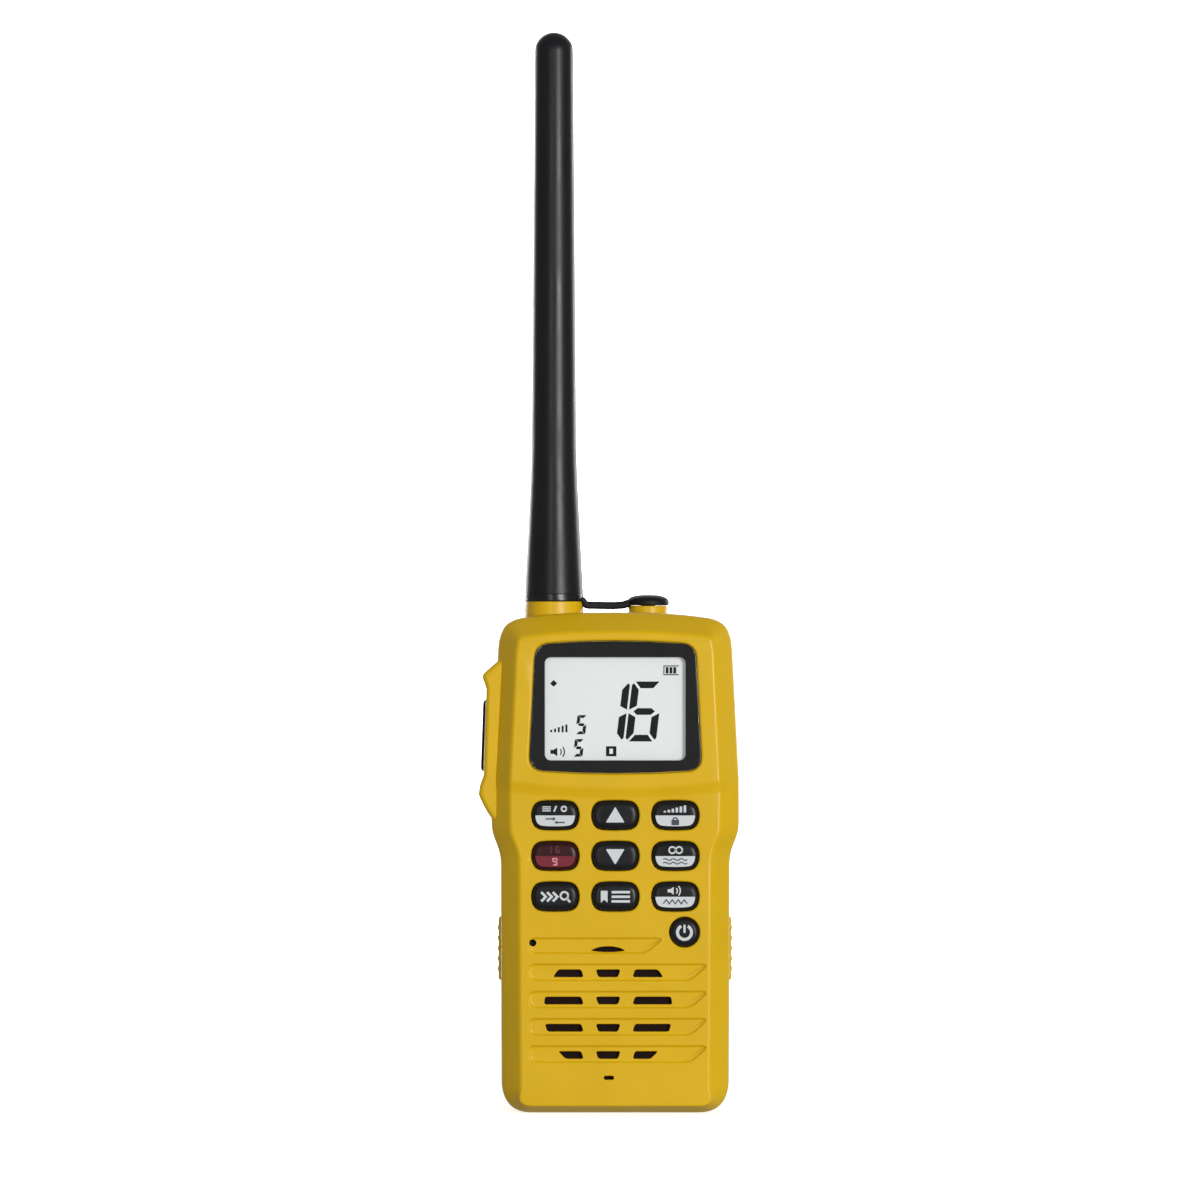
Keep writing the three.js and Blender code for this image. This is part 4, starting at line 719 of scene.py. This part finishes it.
def front_shell():
    """The front half as one piece: skin, collar, jack boss and talk boss, with every opening cut."""
    shell = front_skin()
    collar_top = span("front_case")[1].z
    boss_top = span("jack_cap")[0].z + CAP_PLUG - 0.05  # a hair under the cap's rim
    collar = lathe("collar", [
        (0, HEIGHT - 9), (7.45, HEIGHT - 9), (7.42, HEIGHT - 0.5), (7.32, collar_top - 1.2),
        (7.3, collar_top - 0.4), (7.24, collar_top - 0.12), (7.08, collar_top), (0, collar_top),
    ], x=AERIAL.x, steps=72)
    boss = lathe("boss", [
        (0, HEIGHT - 7), (5.0, HEIGHT - 7), (4.95, boss_top - 0.5), (4.82, boss_top - 0.12), (4.5, boss_top),
        (0, boss_top),
    ], x=JACK.x, steps=56)
    join(shell, collar, boss, talk_boss())
    cut(shell, cavity(FACE + 6.4, PART + 1, FACE + WALL, 5.6, 2.4))
    ledge_back = span("lcd_panel")[0].y - 0.1
    join(shell, prism("ledge", window_loop(), [(ledge_back - 2.0, -2.2), (ledge_back, -2.2)]))
    through = WALL + 1
    mouths = [opening(key_loop(middle(k).x, middle(k).z), FACE, through) for k in KEYPAD]
    power = middle("key_power")
    mouths.append(opening(disc(3.8, power.x, power.z, 48), FACE, through))
    mouths.append(opening(disc(0.9, MIC_X, MIC_Z, 24), FACE, through, 0.6))
    mouths.append(opening(round_rect(2.5, 1.0, 0.45, SPEAKER.x + 0.2, 9.1), FACE, through, 0.5))
    window_back = span("window_gasket")[1].y + 0.05
    mouths.append(prism("window_mouth", window_loop(), [
        (FACE - HOOD + y, -by) for y, by in
        [(-0.5, 0.67), (-0.02, 0.65), (0.05, 0.45), (0.14, 0.27), (0.28, 0.13), (0.42, 0.05)]
    ] + [(window_back, 0.05)]))
    mouths.append(lathe("jack_bore", [
        (0, HEIGHT - 8), (2.4, HEIGHT - 8), (2.4, boss_top - 0.3), (2.7, boss_top + 0.02),
        (2.9, boss_top + 1), (0, boss_top + 1),
    ], x=JACK.x))
    mouths.append(lathe("collar_bore", [
        (0, HEIGHT - 10), (5.0, HEIGHT - 10), (5.0, collar_top - 0.2), (5.3, collar_top + 1),
        (0, collar_top + 1),
    ], x=AERIAL.x, steps=56))
    mouths.append(on_talk_flank(flank_plate("talk_pocket", 22.6, 13.6, 3.3, [(-2.0, 0), (1.4, 0)])))
    cut(shell, *mouths)
    cut(shell, *grooves())
    view = round_rect(36.8, 27.4, 1.5, 0, middle("lcd_panel").z)
    finer = grille_slots()
    finer.append(opening(lens_loop(), FACE + GROOVE, 3.0, 0.45))
    finer.append(prism("view", view, [(window_back - 1, 0), (ledge_back + 1, 0)]))
    finer.append(on_talk_flank(flank_plate("key_well", 18.6, 9.2, 2.6, [(1.0, 0), (2.5, 0)])))
    cut(shell, *finer)
    cut(shell, on_talk_flank(flank_plate("stem_way", 14, 5.6, 1.6, [(2.0, 0), (12, 0)])))
    piece(shell, case_yellow, "radio_body", ["front_case"])


def key_loop(x, z, shrink=0.0):
    """A keypad opening's outline: a rectangle with full, round ends and slightly bowed sides."""
    w, h, r, bow = 6.0 - shrink, 3.75 - shrink, 2.9 - shrink * 0.6, 0.12
    right = curve((0, -h), ((w - r) * 0.6, -h), (w - r, -h + bow), steps=4)
    right += curve(
        (w - r, -h + bow), (w - r * 0.32, -h + bow + 0.12), (w - 0.1, -h + r * 0.55), (w, 0), steps=10
    )
    right += [(x_, -z_) for x_, z_ in reversed(right[:-1])]
    loop = [(0, -h)] + right + [(0, h)]
    loop += [(-x_, z_) for x_, z_ in reversed(right)]
    return [(x + x_, z + z_) for x_, z_ in loop]


# ------------------------ keys and their signs

def sign(name, loops, y, material, body, slot="key_silicone", thick=0.05):
    """Flat signs that stand a hair out of a key or a panel at depth y."""
    plates = [prism(name, loop, [(y - thick, 0), (y + 0.06, 0)]) for loop in loops]
    return piece(joined(plates), material, body)


def moved_loop(loop, x, z):
    return [(x + px, z + pz) for px, pz in loop]


def bar(x0, z0, x1, z1, width):
    """A straight stroke with square ends."""
    a, b = Vector((x0, z0)), Vector((x1, z1))
    side = (b - a).normalized().orthogonal() * width / 2
    return [tuple(a - side), tuple(b - side), tuple(b + side), tuple(a + side)][::-1]


def stroke(points, width):
    """An open line of some width, as one loop."""
    line = [Vector(p) for p in points]
    left, right = [], []
    for i, here in enumerate(line):
        into = (here - line[i - 1]).normalized() if i else (line[1] - here).normalized()
        out = (line[i + 1] - here).normalized() if i + 1 < len(line) else into
        along = (into + out).normalized()
        side = Vector((-along.y, along.x)) * (width / 2 / max(along.dot(out), 0.4))
        left.append(tuple(here + side))
        right.append(tuple(here - side))
    return right + left[::-1]


def arc_stroke(x, z, r, start, end, width, steps=16):
    return stroke(arc(x, z, r, start, end, steps), width)


TRIANGLE = soft_corners([(-2.35, -1.75), (2.35, -1.75), (0.0, 2.15)], 0.3)
KEY_FACE = FACE - 0.9  # the keys stand out of the face
FLANGE_FRONT, FLANGE_BACK = FACE + 2.2, FACE + 3.0  # of the flange behind the face that holds a key in
# dark strokes of the figures: a is the top one, b to f follow clockwise, g is in the middle
SEGMENTS = {"1": "bc", "5": "afgcd", "6": "afgedc", "9": "abcdfg"}


def figure(digit, x, z, tall, wide, weight, slant=0.12, gap=0.3):
    """The dark strokes of a slanting seven-segment figure, with its lower left corner at (x, z)."""
    half, w, h, g = tall / 2, weight, weight * 0.9, gap
    left = [
        (0, half + g), (0, tall - g - h * 0.3), (w * 0.25, tall - g), (w, tall - h - g),
        (w, half + g + h * 0.6),
    ]
    level = [(g + w * 0.25, 0), (wide - g - w * 0.25, 0), (wide - g - w, h), (g + w, h)]
    strokes = {
        "f": left,
        "b": [(wide - px, pz) for px, pz in left],
        "e": [(px, tall - pz) for px, pz in left],
        "c": [(wide - px, tall - pz) for px, pz in left],
        "d": level,
        "a": [(px, tall - pz) for px, pz in level],
        "g": [
            (w * 0.4 + g, half), (w + g * 0.6, half + h / 2), (wide - w - g * 0.6, half + h / 2),
            (wide - w * 0.4 - g, half), (wide - w - g * 0.6, half - h / 2), (w + g * 0.6, half - h / 2),
        ],
    }
    return [
        counter_clockwise([(x + px + slant * pz, z + pz) for px, pz in strokes[s]]) for s in SEGMENTS[digit]
    ]


def lower_pad():
    """The light lower half of a two-function key: a bowed band with full round ends."""
    rim = inset(key_loop(0, 0, FIT), 0.75)
    top = 0.15
    low = [p for p in rim if p[1] <= top]
    return sorted(low, key=lambda p: math.atan2(p[1] - top - 0.01, p[0]))


def waves(count, tall):
    """Wavy lines one above the other."""
    lines = []
    for i in range(count):
        z = -0.85 - 0.75 * i * tall
        points = [(-3.0 + 6.0 * t / 24, z + 0.22 * math.sin(t * math.pi / 4)) for t in range(25)]
        lines.append(stroke(points, 0.28))
    return lines


def arrow(x0, x1, z, head=0.75, width=0.34):
    way = 1 if x1 > x0 else -1
    shaft = bar(x0, z, x1 - way * head, z, width)
    tip = [(x1 - way * head, z - head * 0.62), (x1, z), (x1 - way * head, z + head * 0.62)]
    return [shaft, tip]


def chevron(x, z, size, width=0.6):
    return stroke([(x - size / 2, z + size), (x + size / 2, z), (x - size / 2, z - size)], width)


def counter_clockwise(loop):
    area = sum(a[0] * b[1] - b[0] * a[1] for a, b in zip(loop, loop[1:] + loop[:1]))
    return loop if area > 0 else loop[::-1]


def key_signs(name):
    """Light and dark signs of a key, about its centre."""
    light, dark = [], []
    if name == "key_up":
        light = [TRIANGLE]
    if name == "key_down":
        light = [[(-x, -z) for x, z in TRIANGLE]]
    if name == "key_channel":
        light = [bar(-3.2, 1.15 + 0.5 * i, -1.1, 1.15 + 0.5 * i, 0.28) for i in range(3)]
        light += [bar(-0.3, 0.95, 0.3, 2.35, 0.42), arc_stroke(2.2, 1.65, 0.6, 0, 352, 0.4, 20)]
        dark = arrow(-2.4, 0.2, -0.85) + arrow(2.4, -0.2, -1.75)
    if name == "key_power_level":
        light = [bar(-2.6 + 1.0 * i, 0.75, -2.6 + 1.0 * i, 1.15 + 0.27 * i, 0.62) for i in range(6)]
        dark = [round_rect(1.9, 1.35, 0.2, 0, -1.75), arc_stroke(0, -1.15, 0.58, 0, 180, 0.3)]
    if name == "key_dual_watch":
        light = [arc_stroke(-0.75, 1.5, 0.8, 0, 352, 0.4, 24), arc_stroke(0.95, 1.5, 0.8, 0, 352, 0.4, 24)]
        dark = waves(2, 1.2)
    if name == "key_scan":
        light = [chevron(-2.9 + 1.45 * i, 0, 1.15, 0.62) for i in range(3)]
        light += [arc_stroke(2.3, 0.25, 0.95, 0, 352, 0.5, 24), bar(2.95, -0.5, 3.75, -1.35, 0.55)]
    if name == "key_memory":
        light = [bar(-0.9, 1.15 - 1.15 * i, 3.7, 1.15 - 1.15 * i, 0.62) for i in range(3)]
        light += [soft_corners([(-3.6, -1.5), (-2.75, -0.7), (-1.9, -1.5), (-1.9, 1.5), (-3.6, 1.5)], 0.15)]
    if name == "key_volume":
        light = [[(-1.9, 1.1), (-1.2, 1.1), (-0.4, 0.5), (-0.4, 2.5), (-1.2, 1.9), (-1.9, 1.9)]]
        light += [arc_stroke(-0.5, 1.5, r, -42, 42, 0.32) for r in (1.0, 1.75)]
        dark = [stroke([(-3.0 + 0.75 * i, -1.3 + (0.55 if i % 2 else -0.45)) for i in range(9)], 0.3)]
    return light, dark


def key_cap(name, outline, crown, flange, colour):
    """A key: domed cap, flange behind the face and plunger."""
    centre = middle(name)
    foot = (FLANGE_FRONT + FLANGE_BACK) / 2
    cap = prism(name + "_cap", outline, [(KEY_FACE + y, by) for y, by in crown] + [(foot, 0.0)])
    join(cap, prism("flange", flange, [(FLANGE_FRONT, 0), (FLANGE_BACK, 0)]))
    r, root = 1.5, FLANGE_BACK - 0.1
    join(cap, lathe("plunger", [
        (0, root), (r, root), (r, PLUNGER_TIP), (0, PLUNGER_TIP),
    ], x=centre.x, z=centre.z, steps=20, axis="y"))
    piece(cap, colour, name, [name])


def key_print(name, part, loops, y, ink, slot):
    """Signs drawn about a key's centre, carried to the key."""
    centre = middle(name)
    loops = [moved_loop(counter_clockwise(loop), centre.x, centre.z) for loop in loops]
    sign(name + part, loops, y, ink, name, slot)


def keys():
    """Nine keypad keys and the round power key, with their signs."""
    plain = ("key_up", "key_down", "key_scan", "key_memory")
    over = KEY_FACE - 0.05  # signs on a light half lie on top of it
    crown = [(0.0, 1.75), (0.03, 1.3), (0.1, 0.85), (0.22, 0.5), (0.42, 0.22), (0.7, 0.06), (1.05, 0.0)]
    for name in KEYPAD:
        x, z = middle(name).x, middle(name).z
        red = name == "key_priority"
        slot = "red_silicone" if red else "key_silicone"
        key_cap(name, key_loop(x, z, FIT), crown, key_loop(x, z, -0.6), key_red if red else key_black)
        if red:
            pair = figure("1", -2.0, 0.75, 1.7, 1.1, 0.3, 0.0, 0.04)
            pair += figure("6", 0.1, 0.75, 1.7, 1.1, 0.3, 0.0, 0.04)
            nine = figure("9", -0.75, -2.35, 1.9, 1.3, 0.36, 0.0, 0.04)
            key_print(name, "_band", [lower_pad()], KEY_FACE, legend_rose, slot)
            key_print(name, "_nine", nine, over, legend_pink, slot)
            key_print(name, "_sixteen", pair, KEY_FACE, legend_wine, slot)
            continue
        light, dark = key_signs(name)
        if name not in plain:
            light.append(lower_pad())
        key_print(name, "_sign", light, KEY_FACE, legend_white, slot)
        if dark:
            key_print(name, "_mark", dark, over, legend_dark, slot)

    centre = middle("key_power")
    crown = [(0.0, 1.0), (0.05, 0.7), (0.16, 0.42), (0.35, 0.2), (0.6, 0.05), (0.95, 0.0)]
    discs = [disc(r, centre.x, centre.z, 48) for r in (3.5, 4.4)]
    key_cap("key_power", discs[0], crown, discs[1], key_black)
    ring = arc_stroke(centre.x, centre.z, 1.75, 118, 422, 0.75, 32)
    tick = bar(centre.x, centre.z - 0.1, centre.x, centre.z + 1.9, 0.55)
    sign("key_power_sign", [counter_clockwise(ring), tick], KEY_FACE, legend_white, "key_power")


# ------------------------ display

def display():
    """The clear pane and the dark signs on the panel behind it."""
    glass = [(0.0, 0.35), (0.06, 0.16), (0.16, 0.05), (0.32, 0.0)]
    front, back = WINDOW_LOW.y, WINDOW_HIGH.y
    pane = prism("window_pane", window_loop(), [(front + y, by) for y, by in glass] + [(back, 0.0)])
    piece(pane, window_clear, "radio_body", ["display_window"])
    panel = middle("lcd_panel")
    view_x, view_z = -17.6, panel.z - 12.9  # lower left corner of what shows
    ink = span("lcd_panel")[0].y
    big = figure("1", view_x + 14.4, view_z + 4.7, 15.0, 5.2, 1.8, gap=0.42)
    big += figure("6", view_x + 20.1, view_z + 4.7, 15.0, 7.7, 1.85, gap=0.42)
    sign("lcd_channel", big, ink, lcd_ink, "radio_body", "display_panel", 0.02)
    small = figure("5", view_x + 7.6, view_z + 6.5, 4.8, 2.5, 0.8, gap=0.05)
    small += figure("5", view_x + 7.0, view_z + 0.9, 4.4, 2.4, 0.8, gap=0.05)
    small += [counter_clockwise(s) for s in lcd_icons(view_x, view_z)]
    sign("lcd_signs", small, ink, lcd_ink, "radio_body", "display_panel", 0.02)


def lcd_icons(x, z):
    """Small signs of the display: level bars, a loudspeaker, a battery, a diamond and a frame."""
    loops = [bar(x + 1.6 + 0.95 * i, z + 7.0, x + 1.6 + 0.95 * i, z + 7.6 + 0.34 * i, 0.5) for i in range(5)]
    loops += [moved_loop([(0, 0.6), (0.8, 0.6), (1.7, 0), (1.7, 2.2), (0.8, 1.6), (0, 1.6)], x + 1.4, z + 1.0)]
    loops += [arc_stroke(x + 3.0, z + 2.1, r, -40, 40, 0.3, 8) for r in (1.1, 1.9)]
    loops += [[(x + 1.3, z + 19.2), (x + 2.2, z + 18.4), (x + 3.1, z + 19.2), (x + 2.2, z + 20.1)]]
    battery = [bar(0.95 * i, 0, 0.95 * i, 1.6, 0.7) for i in range(3)]
    battery += [stroke([(2.9, -0.3), (-0.8, -0.3), (-0.8, 1.9), (2.9, 1.9)], 0.25)]
    loops += [moved_loop(loop, x + 30.6, z + 21.7) for loop in battery]
    sides = [bar(0, 1.25, 0.85, 1.25, 2.5), bar(1.75, 1.25, 2.6, 1.25, 2.5)]
    sides += [bar(0.8, 0.3, 1.8, 0.3, 0.6), bar(0.8, 2.2, 1.8, 2.2, 0.6)]
    return loops + [moved_loop(loop, x + 15.3, z + 1.0) for loop in sides]


# ------------------------ aerial, cap and talk key

def aerial():
    """The whip: a flared foot that tapers to a round tip, with its bore."""
    low, high = span("aerial_whip")
    x, foot, top = AERIAL.x, low.z, high.z
    flare = curve((7.3, foot + 0.5), (6.6, foot + 15), (5.85, foot + 26), (5.62, foot + 37), steps=16)
    tip = 4.82
    profile = [
        (0, foot + 1.3), (6.5, foot + 1.3), (6.5, foot), (7.2, foot), (7.28, foot + 0.08), (7.3, foot + 0.5),
    ]
    profile += flare
    profile += [(tip * math.cos(a), top - tip + tip * math.sin(a))
                for a in (math.radians(90 * i / 12) for i in range(12))]
    profile += [(0, top)]
    whip = lathe("aerial_sheath", profile, x=x, steps=72)
    bore = lathe("bore", [
        (0, foot - 1), (6.45, foot - 1), (6.45, foot + 1.31), (3.4, foot + 1.31), (3.4, top - 15),
        (1.7, top - 10), (0, top - 9),
    ], x=x, steps=48)
    cut(whip, bore)
    piece(whip, aerial_black, "aerial", ["aerial_whip"], angle=40)


def tether():
    """The ring under the aerial, the cap on the jack's boss and the strap that bends between them."""
    low, high = span("tether_ring")
    r, inner = 7.4, 5.75
    foot, top = low.z, high.z + 0.04
    ring = lathe("tether_band", [
        (inner, foot - 0.12), (r - 0.12, foot - 0.12), (r - 0.03, foot), (r, foot + 0.25), (r, top - 0.1),
        (r - 0.05, top), (inner, top), (inner, foot - 0.12),
    ], x=AERIAL.x, steps=72)
    piece(ring, gloss_black, "radio_body", ["tether_ring"])
    under = span("jack_cap")[0].z + CAP_PLUG
    cap_top = under + 2.65
    x = JACK.x
    cap = lathe("jack_stopper", [
        (0, under - CAP_PLUG), (1.4, under - CAP_PLUG), (1.75, under - 2.6), (1.85, under - 2.2), (1.85, under),
        (4.95, under), (5.2, under + 0.12), (5.3, under + 0.4), (5.3, under + 0.95), (5.15, under + 1.35),
        (4.8, under + 1.75), (4.3, under + 2.05), (3.5, under + 2.35), (2.4, under + 2.55), (1.2, under + 2.63),
        (0, cap_top),
    ], x=x, steps=56)
    piece(cap, rubber_black, "jack_cap", ["jack_cap"])
    start, end, level = AERIAL.x + 6.9, x - 4.7, foot - 1.05
    spine = [(start - 0.2, foot + 0.5)]
    spine += curve(spine[-1], (start + 0.8, foot + 0.5), (start + 0.5, level), (start + 1.7, level), steps=8)
    spine += curve(spine[-1], (end - 3.5, level - 0.15), (end - 0.7, level - 0.3), (end, under + 0.9), steps=10)
    rings = []
    for i, (sx, sz) in enumerate(spine):
        before, after = Vector(spine[max(i - 1, 0)]), Vector(spine[min(i + 1, len(spine) - 1)])
        across = (after - before).normalized().orthogonal()
        across = across if across.y > 0 else -across
        wide = 4.0 + 0.8 * math.cos(math.pi * i / (len(spine) - 1)) ** 2
        thick = 1.2 + 0.7 * min(i / 6, 1)
        section = round_rect(wide, thick, 0.5, steps=3)
        rings.append([(sx + across.x * h, y, sz + across.y * h) for y, h in section])
    strap = piece(solid("tether_strap", *stack(rings)), rubber_black, None)
    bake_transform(strap)


def talk_key():
    """The rubber panel on the talk boss and the ribbed key that moves in it."""
    panel = flank_plate("talk_panel_skin", 22.0, 13.0, 3.0, [
        (0.30, 0.5), (0.33, 0.26), (0.42, 0.08), (0.6, 0.0), (1.35, 0.0),
    ])
    cut(panel, flank_plate("hole", 18.6, 9.2, 2.6, [(-2, -0.2), (0.32, -0.15), (0.5, 0), (3, 0)]))
    piece(on_talk_flank(panel), rubber_black, "radio_body", ["talk_panel"])
    key = flank_plate("talk_key_skin", 18.0, 8.6, 2.4, [
        (-0.5, 0.9), (-0.46, 0.6), (-0.35, 0.34), (-0.16, 0.14), (0.1, 0.03), (0.4, 0.0), (1.2, 0.0),
    ])
    count, pitch = 8, 1.7
    furrows = []
    for i in range(count):
        furrow = flank_plate("furrow", 0.75, 5.0, 0.3, [(-1, -0.15), (-0.5, -0.12), (-0.35, 0), (-0.1, 0.05)])
        furrow.data.transform(Matrix.Translation(Vector((0, 0, (i - (count - 1) / 2) * pitch))))
        furrows.append(furrow)
    cut(key, *furrows)
    join(key, flank_plate("stem", 13.0, 4.6, 1.4, [(1.0, 0), (5.0, 0)]))
    piece(on_talk_flank(key), rubber_black, "talk_key", ["talk_key"])


# ------------------------ back

def back_details():
    """Grip bars beside the belt clip, and a blank rating label on the head."""
    bars = []
    near, far, thick, slant = 14.6, 23.6, 1.8, 3.4
    for side in (-1, 1):
        for i in range(10):
            z = 13.0 + 4.6 * i
            corners = [(near, z), (far, z + slant), (far, z + slant + thick), (near, z + thick)]
            loop = counter_clockwise([(side * x, h) for x, h in corners])
            profile = pillow(PACK_BACK - 0.4, PACK_BACK + 0.55, back=0.45)
            bars.append(prism("pack_grips", soft_corners(loop, 0.7, 3), profile))
    piece(joined(bars), pack_yellow, "battery_pack")

    head = REAR_HIGH.y
    label = prism("rating_label", round_rect(38, 17, 1.6, 0, 96), [
        (head - 0.1, 0), (head + 0.08, 0), (head + 0.12, 0.1),
    ])
    piece(label, label_grey, "radio_body")
    lines = [(10, -11, 100.6), (14, -9, 98.2), (8, -12, 95.8)]  # width and middle
    marks = [round_rect(wide, 0.9, 0.3, x, z) for wide, x, z in lines]
    marks += [bar(3.5 + 0.95 * i, 91.2, 3.5 + 0.95 * i, 96.4, 0.3 + 0.28 * (i % 3 == 0)) for i in range(13)]
    marks += [round_rect(4.4, 4.4, 0.8, -13.6, 91.6)]
    printed = joined([prism("rating_marks", m, [(head, 0), (head + 0.16, 0)]) for m in marks])
    piece(printed, label_print, "radio_body")


# ------------------------ studio

def studio():
    """A pale seamless floor and backdrop, soft lamps, and a long lens level with the case's top."""
    paper = glowing(moulded("floor_paper", (0.86, 0.86, 0.86), 0.9, 300, 0.02, 0.01, shine=0.1), 0.7)
    width, front, back, bend = 6.0, -8.0, 2.4, 1.2
    turns = [math.radians(90 * i / 16) for i in range(1, 17)]
    profile = [(front, 0.0), (back, 0.0)]
    profile += [(back + bend * math.sin(a), bend * (1 - math.cos(a))) for a in turns]
    profile += [(back + bend, 4.0)]
    verts = [(x, y, z) for y, z in profile for x in (-width, width)]
    faces = [(2 * i, 2 * i + 1, 2 * i + 3, 2 * i + 2) for i in range(len(profile) - 1)]
    mesh = bpy.data.meshes.new("backdrop")
    mesh.from_pydata(verts, [], faces)
    for face in mesh.polygons:
        face.use_smooth = True
    mesh.materials.append(paper)
    backdrop = placed("backdrop", mesh)
    backdrop.visible_diffuse = backdrop.visible_glossy = False  # the paper throws no light back on the set

    world = bpy.data.worlds.new("studio")
    world.use_nodes = True
    sky = world.node_tree.nodes["Background"]
    sky.inputs["Color"].default_value = (1, 1, 1, 1)
    sky.inputs["Strength"].default_value = 0.29
    bpy.context.scene.world = world

    set_middle = (0, 0, 0.1)
    lamps = [  # name, place, aim, size, watts
        ("key", (0.7, -1.3, 0.18), set_middle, (0.45, 0.6), 17.0),
        ("fill", (-0.35, -1.45, 0.2), set_middle, (0.3, 0.8), 2.5),
        ("rim_left", (-0.8, 1.2, 0.25), set_middle, (0.5, 0.6), 5),
        ("rim_right", (0.9, 1.1, 0.3), set_middle, (0.5, 0.6), 5),
        ("floor_wash", (0.0, 1.7, 1.1), (0, 1.7, 0), (2.0, 1.0), 12),
        ("backdrop_wash", (0.0, 2.3, 1.1), (0, 3.5, 0.35), (2.4, 0.4), 36),
    ]
    for name, place, aim, size, watts in lamps:
        light = bpy.data.lights.new(name, "AREA")
        light.shape, light.size, light.size_y, light.energy = "RECTANGLE", size[0], size[1], watts
        holder = placed(name, light)
        holder.location = place
        holder.rotation_euler = (Vector(aim) - Vector(place)).to_track_quat("-Z", "Y").to_euler()

    camera = bpy.data.cameras.new("camera")
    camera.lens, camera.sensor_width = 200, 36
    seen = 0.2998  # width of the frame at the face's plane
    distance = seen * camera.lens / camera.sensor_width
    view = placed("camera", camera)
    frame_x, frame_z = -0.0038, 0.1285  # the frame's middle
    view.location = (frame_x, FACE * MM - distance, frame_z)
    view.rotation_euler = (math.radians(90), 0, 0)
    camera.clip_end = 20
    bpy.context.scene.camera = view
    bpy.context.scene.view_settings.view_transform = "Standard"


front_shell()
keys()
display()
aerial()
tether()
talk_key()
back_details()
studio()
